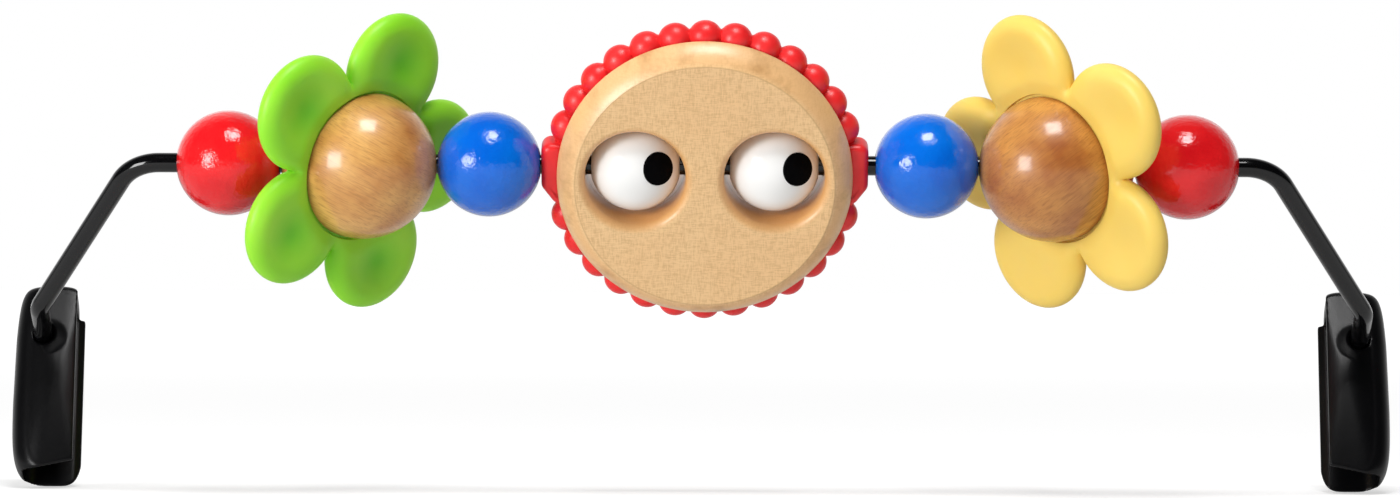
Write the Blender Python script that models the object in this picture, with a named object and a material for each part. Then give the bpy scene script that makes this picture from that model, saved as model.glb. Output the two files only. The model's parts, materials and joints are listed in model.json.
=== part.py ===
"""Bouncer toy bar: a bent steel rod with turned wooden toys threaded on it and two channel clips.

Lengths are in metres, angles in radians, +Z is up and the toys face -Y. The row of toys runs along X.
The world origin lies midway between the channels of the two clips.
"""

import bpy
import bmesh
from math import atan2, cos, pi, radians, sin, sqrt, tan
from mathutils import Matrix, Vector

# Clearances
TOUCH_GAP = 0.0003          # between pieces that rest on each other
RUNNING_GAP = 0.00035       # round the rod in a toy's bore
INLAY_GAP = 0.00015         # round a pupil in its eye
OVERRUN = 0.004             # how far a cutter runs past what it cuts

# Rod
ROD_RADIUS = 0.0029
END_SLACK = 0.0022          # straight rod left bare between the right red bead and the bend
ARM_OUT = 0.0321            # from an upper corner to the lower one, outward
ARM_BACK = 0.0380
ARM_DOWN = 0.0433
UPPER_BEND_RADIUS = 0.0135
LOWER_BEND_RADIUS = 0.0080
LEG_LENGTH = 0.0184         # from a lower corner to the face of its clip
LEG_PITCH = radians(25)
LEG_YAW = radians(3.5)
ROD_SEAT = 0.0125           # how deep the rod sits in its clip
BEND_STEPS = 6

# Clip, in its own frame: across (outward), up (along the channel) and in (away from the front face)
CLIP_INNER = 0.0116         # from the rod to the open side
FRONT_INSET = 0.0016        # how far the front wall stops short of that
CLIP_OUTER = 0.0057         # from the rod to the outer side, at the front face
CLIP_BULGE = 0.0034         # how far the outer side swells past that
CLIP_TOP = 0.0176           # from the rod up to the top of the clip
CLIP_BOTTOM = 0.0450        # from the rod down to the bottom of the clip
CLIP_DEPTH = 0.0195
CLIP_BOW = 0.0016           # how far the outer side curves in towards the top
CLIP_ARCH = 0.0013          # how far the top curves down towards its two ends
FRONT_CROWN = 0.0008        # how far the middle of the front face swells
CROWN_RING_SHARES = (0.5, 0.85)
CLIP_ROUND = 0.0040         # how far the rear edge is rounded in
CLIP_ROUND_SHARE = 0.35     # share of the depth over which it is rounded
CLIP_TRIM = 0.0007          # how much of the outline is cut off flat on the open side
OUTER_TOP_SQUARENESS = 10.0 # exponents of the outline at its corners
OPEN_TOP_SQUARENESS = 7.0
OUTER_LOW_SQUARENESS = 4.6
OPEN_LOW_SQUARENESS = 4.6
CLIP_WALL = 0.0026          # front and rear walls
OUTER_WALL = 0.0039         # from the floor of the channel out to the fullest part of the outer side
CHANNEL_TOP = 0.0070        # from the rod down to the upper end of the channel
CHANNEL_FILLET = 0.0045
CHANNEL_STEPS = 4
LEAD_IN = 0.0012            # how far the mouth of the channel opens
LEAD_IN_LENGTH = 0.0020
SLOT_DEPTH = 0.0035         # recess in the open side, between the walls above the channel
SHOULDER = 0.0118           # from the rod up to where the walls of the channel step out
STEP_BACK = 0.0019          # how far the block above the shoulder lies back behind the rear wall
FRONT_CUT_INNER = 0.0038    # how much shorter than the rear wall the front wall is, at the open side
FRONT_CUT_OUTER = 0.0004    # and at its outer end
FRONT_EDGE_INSET = 0.0012   # from that end out to the floor of the channel
DISH_RADIUS = 0.0070        # hollow round the rod's hole
DISH_DEPTH = 0.0012
DISH_SHARES = (0.05, 0.4, 0.7, 1.0, 1.3)
HOLE_FLARE = 0.0008
HOLE_STEPS = 20
CLIP_POINTS = 32
CLIP_SECTIONS = 7

# Beads
BEAD_RADIUS = 0.0155
BALL_STEPS = 24
BALL_RINGS = 8

# Flowers
DOME_RADIUS = 0.0218
WEB_THICKNESS = 0.0030      # of the petals between the two domes
FLOWER_ANGLE = radians(45)  # between the rod and the petals' axis
FLOWER_SPIN = radians(22)   # how far each flower has nodded forward on the rod
PETAL_COUNT = 5
GREEN_PHASE = radians(-28.3)    # of the first petal round the flower's axis
YELLOW_PHASE = radians(-25.2)
PETAL_REACH = 0.0073        # from the dome's edge out to a petal's middle
PETAL_OVERLAP = 0.0003      # how far a petal's circle runs past the line between two petals
PETAL_EDGE = 0.0040         # half the thickness at the puffed edge, and its rounding
PETAL_DISH = 0.0024         # half the thickness in the hollow of a petal
PETAL_COLLAR = 0.0027       # half the thickness beside a dome
HOLLOW_SHARE = 0.45         # where the hollow lies between the collar and the edge
EDGE_ANGLES = (radians(-25), radians(18), radians(56))
LOBE_STEPS = 9
DOME_STEPS = 24
DOME_RINGS = 6

# Head
NOSE_WIDTH = 0.0113         # wood between the two sockets
CHEEK_WIDTH = 0.00835       # wood between a socket and the rim
EDGE_WIDTH = 0.0054         # of the rounding between the flat face and the rim
HEAD_THICKNESS = 0.0238
RIM_LAND = 0.0004           # plain rim between the cove and the rounding
REAR_INSET = 0.0014         # how much smaller the rear half is, which doesn't show behind the ring
HEAD_DROP = 0.0019          # how far the head's middle lies below the rod
HEAD_TILT = radians(25)
ROUNDING_START = radians(22)    # the stretch of an ellipse that the rounding follows, from the rim
ROUNDING_END = radians(62)      # to the crease where it meets the face
ROUNDING_STEPS = 4
CREASE_ANGLE = radians(24)
HEAD_STEPS = 42
COVE_STEPS = 3

# Beaded ring
RING_SINK = 0.0007          # how far the ring's centre line lies inside the rim
RING_BEAD = 0.0049          # radius of one round bump
RING_NECK = 0.0025          # radius of the cord between two bumps
RING_BUMPS = 13             # over the top, and as many below
RING_PITCH = radians(11.8)
RING_SIDES = 8
BUMP_STEPS = 4
EAR_STEPS = 3
EAR_TOP = 0.0099            # from the head's middle up to the top of an ear
EAR_BOTTOM = 0.0094         # and down to its foot
EAR_SINK = 0.0021           # how far an ear reaches in from the rim
EAR_REACH = 0.0046          # and how far it stands out
EAR_GAP = 0.00045           # between an ear and the sides of the cove
EAR_CORNER = 0.0018         # cut off its upper corner
EAR_TAPER = 0.0040          # how much narrower its foot is
EAR_TAPER_LENGTH = 0.0055
EAR_ROUND = 0.0010

# Eyes
EYE_RADIUS = 0.0135
EYE_CLEARANCE = 0.0013      # round an eye in its socket
SOCKET_FLARE = 0.0025       # how much wider the socket opens at the face
SOCKET_FLARE_DEPTH = 0.0030
SOCKET_STEPS = 26
PUPIL_RADIUS = 0.00485
PUPIL_THICKNESS = 0.0015    # in the eye
PUPIL_PROUD = 0.0006        # and over it
PUPIL_TURN = radians(32)    # towards +X
PUPIL_NOD = radians(7)      # downward
PUPIL_STEPS = 20
CROWN_SHARES = (1.0, 0.7, 0.4, 0.1)

# Row of toys
BORE_STEPS = 20
HEAD_SHIFT = 0.0007         # of the head from the middle of the bar, along X
ROW_SLACK = 0.0021          # bare rod between the head and the right blue bead

# Derived sizes
BORE_RADIUS = ROD_RADIUS + RUNNING_GAP
BEAD_HALF = sqrt(BEAD_RADIUS ** 2 - BORE_RADIUS ** 2)
DOME_BASE = WEB_THICKNESS / 2 + TOUCH_GAP
DOME_OFFSET = DOME_BASE * sin(FLOWER_ANGLE)
FLOWER_HALF = DOME_OFFSET + sqrt(DOME_RADIUS ** 2 - (BORE_RADIUS - DOME_OFFSET) ** 2)
LOBE_DISTANCE = DOME_RADIUS + PETAL_REACH
LOBE_RADIUS = LOBE_DISTANCE * sin(pi / PETAL_COUNT) + PETAL_OVERLAP
SOCKET_RADIUS = EYE_RADIUS + EYE_CLEARANCE
EYE_SPACING = NOSE_WIDTH + 2 * SOCKET_RADIUS
HEAD_RADIUS = EYE_SPACING / 2 + SOCKET_RADIUS + CHEEK_WIDTH
FACE_HEIGHT = HEAD_THICKNESS / 2
RING_RADIUS = HEAD_RADIUS - RING_SINK
COVE_RADIUS = RING_BEAD + RUNNING_GAP
EAR_INNER = HEAD_RADIUS - EAR_SINK
EAR_OUTER = HEAD_RADIUS + EAR_REACH
EAR_DEPTH = 2 * (sqrt(COVE_RADIUS ** 2 - (RING_RADIUS - EAR_INNER) ** 2) - EAR_GAP)
HOLE_RADIUS = ROD_RADIUS + TOUCH_GAP
CLIP_FLOOR = CLIP_OUTER + CLIP_BULGE - OUTER_WALL

# Where the toys lie along the rod, and the rod's upper corner beyond the last of them
TOY_STEP = BEAD_HALF + TOUCH_GAP + FLOWER_HALF
LEFT_BLUE = HEAD_SHIFT - EAR_OUTER - TOUCH_GAP - BEAD_HALF
LEFT_FLOWER = LEFT_BLUE - TOY_STEP
LEFT_RED = LEFT_FLOWER - TOY_STEP
RIGHT_BLUE = HEAD_SHIFT + EAR_OUTER + ROW_SLACK + BEAD_HALF
RIGHT_FLOWER = RIGHT_BLUE + TOY_STEP
RIGHT_RED = RIGHT_FLOWER + TOY_STEP
UPPER_BEND = atan2(sqrt(ARM_BACK ** 2 + ARM_DOWN ** 2), ARM_OUT)
CORNER_X = RIGHT_RED + BEAD_HALF + END_SLACK + UPPER_BEND_RADIUS * tan(UPPER_BEND / 2)

# Colours
BLACK = (0.012, 0.012, 0.013)
GREEN = (0.20, 0.53, 0.03)
YELLOW = (0.93, 0.66, 0.12)
RED = (0.72, 0.02, 0.03)
RING_RED = (0.80, 0.045, 0.05)
BLUE = (0.01, 0.13, 0.70)
WHITE = (0.90, 0.90, 0.89)
PALE_WOOD = (0.78, 0.55, 0.30)
HONEY_WOOD = (0.62, 0.33, 0.12)


def material(name, colour, roughness, metallic=0.0):
    """One plain finish, shared by every piece that has it."""
    if name in bpy.data.materials:
        return bpy.data.materials[name]
    finish = bpy.data.materials.new(name)
    finish.use_nodes = True
    shader = finish.node_tree.nodes["Principled BSDF"]
    shader.inputs["Base Color"].default_value = (*colour, 1.0)
    shader.inputs["Roughness"].default_value = roughness
    shader.inputs["Metallic"].default_value = metallic
    return finish


def add_empty(name, location, parent=None):
    """A named centre that pieces hang from."""
    empty = bpy.data.objects.new(name, None)
    empty.location = location
    empty.parent = parent
    bpy.context.scene.collection.objects.link(empty)
    return empty


def add_object(name, data, finish=None, parent=None):
    """Links a mesh or curve to the scene under its own name."""
    thing = bpy.data.objects.new(name, data)
    if finish is not None:
        data.materials.append(finish)
    thing.parent = parent
    bpy.context.scene.collection.objects.link(thing)
    return thing


def skin(name, rings, matrix=None, loop=False, sharp=radians(35)):
    """Joins rings of points into a closed mesh: a loop, or else capped at both ends."""
    shape = bmesh.new()
    rows = [[shape.verts.new(point) for point in ring] for ring in rings]
    pairs = list(zip(rows, rows[1:]))
    if loop:
        pairs.append((rows[-1], rows[0]))
    for low, high in pairs:
        for i in range(len(low)):
            j = (i + 1) % len(low)
            shape.faces.new((low[i], low[j], high[j], high[i]))
    if not loop:
        shape.faces.new(rows[0])
        shape.faces.new(rows[-1])
    bmesh.ops.recalc_face_normals(shape, faces=shape.faces)
    return finished(name, shape, matrix, sharp)


def finished(name, shape, matrix, sharp):
    """Turns a bmesh into a mesh in its place, shaded smooth up to the sharp angle."""
    mesh = bpy.data.meshes.new(name)
    shape.to_mesh(mesh)
    shape.free()
    if matrix is not None:
        mesh.transform(matrix)
        if matrix.determinant() < 0:
            mesh.flip_normals()
    mesh.shade_smooth()
    mesh.set_sharp_from_angle(angle=sharp)
    return mesh


def circle(radius, height, steps):
    """Points of a circle about Z."""
    return [Vector((radius * cos(2 * pi * i / steps), radius * sin(2 * pi * i / steps), height))
            for i in range(steps)]


def turned(name, profile, steps, matrix=None, loop=False, sharp=radians(35)):
    """A profile of (radius, height) pairs turned about Z."""
    return skin(name, [circle(radius, height, steps) for radius, height in profile], matrix, loop, sharp)


def prism(name, outline, low, high, matrix=None):
    """An outline of (x, y) points drawn up along Z."""
    return skin(name, [[Vector((x, y, z)) for x, y in outline] for z in (low, high)], matrix)


def chamfered(mesh, width):
    """The mesh with all its edges cut off at that width."""
    shape = bmesh.new()
    shape.from_mesh(mesh)
    bmesh.ops.bevel(shape, geom=list(shape.edges), offset=width, segments=1, affect="EDGES")
    bmesh.ops.recalc_face_normals(shape, faces=shape.faces)
    shape.to_mesh(mesh)
    shape.free()
    return mesh


def cut(target, cutter_mesh, operation="DIFFERENCE"):
    """Cuts one piece with a hidden shape, or joins the two."""
    cutter = add_object(cutter_mesh.name, cutter_mesh, parent=target.parent)
    cutter.hide_render = True
    cutter.display_type = "WIRE"
    boolean = target.modifiers.new(cutter.name, "BOOLEAN")
    boolean.operation = operation
    boolean.solver = "EXACT"
    boolean.object = cutter


def rod_bore(target, half_length):
    """Bores a toy for the rod, along X."""
    profile = [(BORE_RADIUS, -half_length - OVERRUN), (BORE_RADIUS, half_length + OVERRUN)]
    cut(target, turned(target.name + "_bore", profile, BORE_STEPS, Matrix.Rotation(pi / 2, 4, "Y")))


def frame_of(axis_x, axis_y, axis_z, place=Vector()):
    """A matrix from three axes and a place."""
    turn = Matrix((axis_x, axis_y, axis_z)).transposed().to_4x4()
    return Matrix.Translation(place) @ turn


def mirror_if(side):
    """The identity on the right, and a mirror in X on the left."""
    return Matrix.Diagonal((side, 1, 1, 1))


# Where things lie, on the right-hand side
def upper_corner():
    return Vector((CORNER_X, 0, 0))


def lower_corner():
    return upper_corner() + Vector((ARM_OUT, ARM_BACK, -ARM_DOWN))


def clip_frame():
    """The clip's frame, from the mouth of the rod's hole: X across, Y into the clip, Z up the channel."""
    turn = Matrix.Rotation(-LEG_YAW, 4, "Z") @ Matrix.Rotation(-LEG_PITCH, 4, "X")
    mouth = lower_corner() + turn.to_3x3() @ Vector((0, LEG_LENGTH, 0))
    return Matrix.Translation(mouth) @ turn


def channel_middle():
    """The middle of the clip's channel."""
    across = (CLIP_FLOOR - CLIP_INNER) / 2
    up = -(CHANNEL_TOP + CLIP_BOTTOM) / 2
    return clip_frame() @ Vector((across, CLIP_DEPTH / 2, up))


def fillet(before, corner, after, radius, steps):
    """Points of the arc that rounds a corner."""
    back = (before - corner).normalized()
    ahead = (after - corner).normalized()
    half = back.angle(ahead) / 2
    middle = corner + (back + ahead).normalized() * (radius / sin(half))
    start = corner + back * (radius / tan(half)) - middle
    turn_axis = back.cross(ahead).normalized()
    total = pi - 2 * half
    return [middle + Matrix.Rotation(-total * i / steps, 3, turn_axis) @ start for i in range(steps + 1)]


def build_rod(parent):
    """One rod: a straight bar, an arm at each end and a short leg into each clip."""
    rod_end = clip_frame() @ Vector((0, ROD_SEAT, 0))
    middle = Vector()
    half = fillet(middle, upper_corner(), lower_corner(), UPPER_BEND_RADIUS, BEND_STEPS)
    half += fillet(upper_corner(), lower_corner(), rod_end, LOWER_BEND_RADIUS, BEND_STEPS)
    half.append(rod_end)
    mirrored = [Vector((-point.x, point.y, point.z)) for point in reversed(half)]
    path = mirrored + half
    curve = bpy.data.curves.new("bar_rod", "CURVE")
    curve.dimensions = "3D"
    curve.bevel_depth = ROD_RADIUS
    curve.bevel_resolution = 5
    curve.use_fill_caps = True
    spline = curve.splines.new("POLY")
    spline.points.add(len(path) - 1)
    for point, place in zip(spline.points, path):
        point.co = (*place, 1)
    spline.use_smooth = True
    return add_object("bar_rod", curve, material("gloss_black", BLACK, 0.18), parent)


def corner_squareness(is_outer, is_top):
    """How square the clip's outline is at one of its four corners."""
    if is_top:
        return OUTER_TOP_SQUARENESS if is_outer else OPEN_TOP_SQUARENESS
    return OUTER_LOW_SQUARENESS if is_outer else OPEN_LOW_SQUARENESS


def clip_section(share):
    """The clip's outline at a share of its depth, as points in the clip's frame."""
    late = max(0.0, (share - 1 + CLIP_ROUND_SHARE) / CLIP_ROUND_SHARE)
    rounding = CLIP_ROUND * (1 - sqrt(max(0.0, 1 - late ** 2)))
    outer = CLIP_OUTER + CLIP_BULGE * (1 - (2 * share - 1) ** 2) - rounding
    inner = -CLIP_INNER - CLIP_TRIM
    top = CLIP_TOP - rounding
    bottom = -CLIP_BOTTOM + rounding
    points = []
    for i in range(CLIP_POINTS):
        angle = 2 * pi * (i + 0.5) / CLIP_POINTS
        squareness = corner_squareness(cos(angle) > 0, sin(angle) > 0)
        across = abs(cos(angle)) ** (2 / squareness) * (1 if cos(angle) > 0 else -1)
        up = abs(sin(angle)) ** (2 / squareness) * (1 if sin(angle) > 0 else -1)
        bow = CLIP_BOW * max(0.0, up) ** 2 * max(0.0, across)
        arch = CLIP_ARCH * across ** 2 * max(0.0, up)
        points.append(Vector(((outer + inner) / 2 + across * (outer - inner) / 2 - bow,
                              share * CLIP_DEPTH,
                              (top + bottom) / 2 + up * (top - bottom) / 2 - arch)))
    return points


def crown_rings(section):
    """Smaller and smaller copies of the front outline, each further out, for the swell of the front face."""
    middle = sum(section, Vector()) / len(section)
    rings = []
    for share in CROWN_RING_SHARES:
        out = Vector((0, FRONT_CROWN * (1 - share ** 2), 0))
        rings.append([middle + share * (point - middle) - out for point in section])
    return rings


def build_clip(side, name, parent):
    """A springless channel clip: thin walls round a channel that is open inward and at its lower end."""
    place = mirror_if(side) @ clip_frame()
    rings = [clip_section(i / (CLIP_SECTIONS - 1)) for i in range(CLIP_SECTIONS)]
    rings = crown_rings(rings[0]) + rings
    clip = add_object(name, skin(name, rings, place), material("satin_black", BLACK, 0.38), parent)
    mouth = -CLIP_INNER - OVERRUN
    front_end = -CLIP_INNER + FRONT_INSET
    flat = [(mouth, -OVERRUN), (front_end, -OVERRUN), (front_end, CLIP_WALL + TOUCH_GAP),
            (-CLIP_INNER, CLIP_WALL + TOUCH_GAP), (-CLIP_INNER, CLIP_DEPTH + OVERRUN),
            (mouth, CLIP_DEPTH + OVERRUN)]
    cut(clip, prism(name + "_open_side", flat, -CLIP_BOTTOM - OVERRUN, CLIP_TOP + OVERRUN, place))
    # Prisms are drawn up along Z, which is the channel's own direction
    rear = CLIP_DEPTH - CLIP_WALL
    flare_slope = LEAD_IN / LEAD_IN_LENGTH
    channel = [(mouth, CLIP_WALL)]
    for corner_y, first in ((CLIP_WALL + CHANNEL_FILLET, -pi / 2), (rear - CHANNEL_FILLET, 0)):
        for i in range(CHANNEL_STEPS + 1):
            angle = first + pi / 2 * i / CHANNEL_STEPS
            channel.append((CLIP_FLOOR - CHANNEL_FILLET + CHANNEL_FILLET * cos(angle),
                            corner_y + CHANNEL_FILLET * sin(angle)))
    channel += [(-CLIP_INNER + LEAD_IN_LENGTH, rear), (mouth, rear + LEAD_IN + OVERRUN * flare_slope)]
    cut(clip, prism(name + "_channel", channel, -CLIP_BOTTOM - OVERRUN, -CHANNEL_TOP, place))
    slot = [(mouth, CLIP_WALL), (-CLIP_INNER + SLOT_DEPTH, CLIP_WALL), (-CLIP_INNER + SLOT_DEPTH, rear),
            (-CLIP_INNER + LEAD_IN_LENGTH, rear), (mouth, rear + LEAD_IN + OVERRUN * flare_slope)]
    cut(clip, prism(name + "_slot", slot, -CHANNEL_TOP - OVERRUN, SHOULDER + TOUCH_GAP, place))
    step = [(mouth, CLIP_WALL), (-CLIP_INNER + STEP_BACK, CLIP_WALL),
            (-CLIP_INNER + STEP_BACK, CLIP_DEPTH + OVERRUN), (mouth, CLIP_DEPTH + OVERRUN)]
    cut(clip, prism(name + "_step", step, SHOULDER, CLIP_TOP + OVERRUN, place))
    # The front wall ends in a slanting edge, drawn here in the plane of the wall
    across_wall = Matrix(((1, 0, 0, 0), (0, 0, 1, 0), (0, 1, 0, 0), (0, 0, 0, 1)))
    end = CLIP_FLOOR - FRONT_EDGE_INSET
    slant = (FRONT_CUT_INNER - FRONT_CUT_OUTER) / (end + CLIP_INNER)
    edge = [(mouth, -CLIP_BOTTOM + FRONT_CUT_INNER + slant * OVERRUN), (end, -CLIP_BOTTOM + FRONT_CUT_OUTER),
            (end, -CLIP_BOTTOM - OVERRUN), (mouth, -CLIP_BOTTOM - OVERRUN)]
    depth = CLIP_WALL + CHANNEL_FILLET / 2
    cut(clip, prism(name + "_front_edge", edge, -OVERRUN, depth, place @ across_wall))
    # The rod's hole and the soft hollow round it
    into_clip = place @ Matrix.Rotation(-pi / 2, 4, "X")
    bore = [(HOLE_RADIUS, ROD_SEAT + TOUCH_GAP), (HOLE_RADIUS, HOLE_FLARE + DISH_DEPTH),
            (HOLE_RADIUS + HOLE_FLARE, DISH_DEPTH), (HOLE_RADIUS + HOLE_FLARE, -OVERRUN)]
    cut(clip, turned(name + "_hole", bore, HOLE_STEPS, into_clip))
    sphere = (DISH_RADIUS ** 2 + DISH_DEPTH ** 2) / (2 * DISH_DEPTH)
    spread = DISH_RADIUS / sphere
    dish = [(sphere * sin(spread * share), DISH_DEPTH - sphere * (1 - cos(spread * share)))
            for share in DISH_SHARES]
    cut(clip, turned(name + "_dish", dish + [(dish[-1][0], -OVERRUN)], 24, into_clip))
    return clip


def ball_profile(radius, bore, rings):
    """Half a ball's outline round its bore, from pole to pole, closed along the bore."""
    first = atan2(bore, sqrt(radius ** 2 - bore ** 2))
    angles = [first + (pi - 2 * first) * i / rings for i in range(rings + 1)]
    return [(radius * sin(angle), radius * cos(angle)) for angle in angles]


def build_ball(name, radius, finish, parent):
    """A ball bored through along X."""
    along_x = Matrix.Rotation(pi / 2, 4, "Y")
    mesh = turned(name, ball_profile(radius, BORE_RADIUS, BALL_RINGS), BALL_STEPS, along_x, loop=True)
    return add_object(name, mesh, finish, parent)


def flower_frame(side):
    """The flower's frame: Z along its axis, X up in the plane of the petals."""
    spin = Matrix.Rotation(FLOWER_SPIN, 3, "X")
    axis = spin @ Vector((cos(FLOWER_ANGLE), -sin(FLOWER_ANGLE), 0))
    up = spin @ Vector((0, 0, 1))
    return mirror_if(side) @ frame_of(up, axis.cross(up), axis)


def petal_directions(phase):
    """Angle and reach of the outline: arcs of the petals' circles, one after another."""
    half_share = pi / PETAL_COUNT
    aside = LOBE_DISTANCE * sin(half_share)
    cleft_reach = LOBE_DISTANCE * cos(half_share) + sqrt(LOBE_RADIUS ** 2 - aside ** 2)
    cleft = Vector((cleft_reach * cos(half_share) - LOBE_DISTANCE, cleft_reach * sin(half_share)))
    widest = atan2(cleft.y, cleft.x)
    directions = []
    for petal in range(PETAL_COUNT):
        for i in range(LOBE_STEPS):
            turn = widest * (2 * i / LOBE_STEPS - 1)
            x = LOBE_DISTANCE + LOBE_RADIUS * cos(turn)
            y = LOBE_RADIUS * sin(turn)
            angle = phase + 2 * half_share * petal + atan2(y, x)
            directions.append((angle, sqrt(x ** 2 + y ** 2)))
    return directions


def petal_profile(reach):
    """Radius and half thickness from the web out to the rounded edge, in one direction."""
    collar = DOME_RADIUS + TOUCH_GAP
    room = reach - collar
    edge = min(PETAL_EDGE, room / 2)
    shoulder = reach - edge
    points = [(BORE_RADIUS / 2, WEB_THICKNESS / 2), (collar, WEB_THICKNESS / 2),
              (collar + TOUCH_GAP, PETAL_COLLAR), (collar + (shoulder - collar) * HOLLOW_SHARE, PETAL_DISH)]
    for angle in EDGE_ANGLES:
        points.append((shoulder + edge * sin(angle), PETAL_EDGE * cos(angle)))
    points.append((reach, 0))
    return points


def build_petals(name, side, phase, finish, parent):
    """Five puffed petals in one moulding, with a thin web between the domes, the same on both faces."""
    directions = petal_directions(phase)
    profiles = [petal_profile(reach) for angle, reach in directions]
    levels = len(profiles[0])
    rings = []
    for level in list(range(levels)) + list(range(levels - 2, -1, -1)):
        sign = 1 if len(rings) < levels else -1
        rings.append([Vector((profile[level][0] * cos(angle), profile[level][0] * sin(angle),
                              sign * profile[level][1]))
                      for (angle, reach), profile in zip(directions, profiles)])
    petals = add_object(name, skin(name, rings, flower_frame(side)), finish, parent)
    rod_bore(petals, LOBE_DISTANCE)
    return petals


def build_dome(name, side, face, finish, parent):
    """Half a turned ball, flat against the petals' web, bored slantwise for the rod."""
    rises = [pi / 2 * i / (DOME_RINGS + 0.5) for i in range(DOME_RINGS + 1)]
    outline = [(DOME_RADIUS * cos(rise), DOME_BASE + DOME_RADIUS * sin(rise)) for rise in rises]
    matrix = flower_frame(side) @ Matrix.Diagonal((1, 1, face, 1))
    dome = add_object(name, turned(name, outline, DOME_STEPS, matrix), finish, parent)
    rod_bore(dome, FLOWER_HALF)
    return dome


def head_frame(face=1):
    """The head's frame: Z out of its face, with the rod through the origin and the middle just below it."""
    tilt = Matrix.Rotation(HEAD_TILT, 4, "X")
    facing = Matrix.Rotation(pi / 2, 4, "X") @ Matrix.Diagonal((1, 1, face, 1))
    return tilt @ Matrix.Translation((0, 0, -HEAD_DROP)) @ facing


def head_profile(rim):
    """Half the head's outline: joint face, cove for the beaded ring, rim, rounding and flat face."""
    cove_height = sqrt(COVE_RADIUS ** 2 - (rim - RING_RADIUS) ** 2)
    rim_height = cove_height + RIM_LAND
    start = atan2(TOUCH_GAP / 2, -sqrt(COVE_RADIUS ** 2 - (TOUCH_GAP / 2) ** 2))
    end = atan2(cove_height, rim - RING_RADIUS)
    points = [(BORE_RADIUS / 2, TOUCH_GAP / 2)]
    for i in range(COVE_STEPS + 1):
        angle = start + (end - start) * i / COVE_STEPS
        points.append((RING_RADIUS + COVE_RADIUS * cos(angle), COVE_RADIUS * sin(angle)))
    run = EDGE_WIDTH / (cos(ROUNDING_START) - cos(ROUNDING_END))
    rise = (FACE_HEIGHT - rim_height) / (sin(ROUNDING_END) - sin(ROUNDING_START))
    for i in range(ROUNDING_STEPS + 1):
        angle = ROUNDING_START + (ROUNDING_END - ROUNDING_START) * i / ROUNDING_STEPS
        points.append((rim - run * (cos(ROUNDING_START) - cos(angle)),
                       rim_height + rise * (sin(angle) - sin(ROUNDING_START))))
    points.append((BORE_RADIUS / 2, FACE_HEIGHT))
    return points


def socket_cutter(name, x):
    """A through hole for one eye, flared where it meets each face."""
    low = FACE_HEIGHT - SOCKET_FLARE_DEPTH
    bend = Vector((SOCKET_RADIUS + SOCKET_FLARE / 3, low + SOCKET_FLARE_DEPTH * 2 / 3))
    lip = Vector((SOCKET_RADIUS + SOCKET_FLARE, FACE_HEIGHT))
    upper = [(SOCKET_RADIUS, low), tuple(bend), tuple(bend + 2 * (lip - bend))]
    profile = [(radius, -height) for radius, height in reversed(upper)] + upper
    place = Matrix.Translation((x, HEAD_DROP, 0))
    return turned(name, profile, SOCKET_STEPS, head_frame() @ place)


def build_head_half(name, face, rim, parent):
    """One turned wooden half of the head, with half of each eye socket."""
    mesh = turned(name, head_profile(rim), HEAD_STEPS, head_frame(face), sharp=CREASE_ANGLE)
    half = add_object(name, mesh, material("pale_wood", PALE_WOOD, 0.45), parent)
    for side, label in ((-1, "left"), (1, "right")):
        cut(half, socket_cutter(name + "_socket_" + label, side * EYE_SPACING / 2))
    rod_bore(half, HEAD_RADIUS)
    return half


def bump_angles():
    """Angle round the ring and cord radius there, all the way round."""
    half_row = RING_PITCH * (RING_BUMPS - 1) / 2
    sections = []
    for centre in (pi / 2, 3 * pi / 2):
        for bump in range(RING_BUMPS):
            for step in range(BUMP_STEPS):
                offset = RING_PITCH * (step / BUMP_STEPS - 0.5)
                along = RING_RADIUS * offset
                radius = max(RING_NECK, sqrt(max(0.0, RING_BEAD ** 2 - along ** 2)))
                sections.append((centre - half_row + RING_PITCH * bump + offset, radius))
        start = centre + half_row + RING_PITCH / 2
        gap = pi - 2 * half_row - RING_PITCH
        for step in range(EAR_STEPS):
            sections.append((start + gap * step / EAR_STEPS, RING_NECK))
    return sections


def build_ring(name, parent):
    """The beaded ring in the groove between the two halves, with an ear for the rod at each side."""
    rings = []
    for angle, radius in bump_angles():
        points = []
        for i in range(RING_SIDES):
            turn = 2 * pi * i / RING_SIDES
            reach = RING_RADIUS + radius * cos(turn)
            points.append(Vector((reach * cos(angle), reach * sin(angle), radius * sin(turn))))
        rings.append(points)
    mesh = skin(name, rings, head_frame(), loop=True, sharp=radians(60))
    ring = add_object(name, mesh, material("satin_red", RING_RED, 0.35), parent)
    outline = [(EAR_INNER, -EAR_BOTTOM), (EAR_OUTER - EAR_TAPER, -EAR_BOTTOM),
               (EAR_OUTER, EAR_TAPER_LENGTH - EAR_BOTTOM), (EAR_OUTER, EAR_TOP - EAR_CORNER),
               (EAR_OUTER - EAR_CORNER, EAR_TOP), (EAR_INNER, EAR_TOP)]
    for side, label in ((-1, "left"), (1, "right")):
        ear = chamfered(prism(name + "_ear_" + label, outline, -EAR_DEPTH / 2, EAR_DEPTH / 2), EAR_ROUND)
        ear.transform(head_frame() @ mirror_if(side))
        if side < 0:
            ear.flip_normals()
        cut(ring, ear, "UNION")
    rod_bore(ring, EAR_OUTER)
    return ring


def pupil_frame():
    """Z points out of the eye through the middle of its pupil."""
    out = Matrix.Rotation(PUPIL_NOD, 3, "X") @ Vector((sin(PUPIL_TURN), -cos(PUPIL_TURN), 0))
    return out.to_track_quat("Z", "Y").to_matrix().to_4x4()


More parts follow.
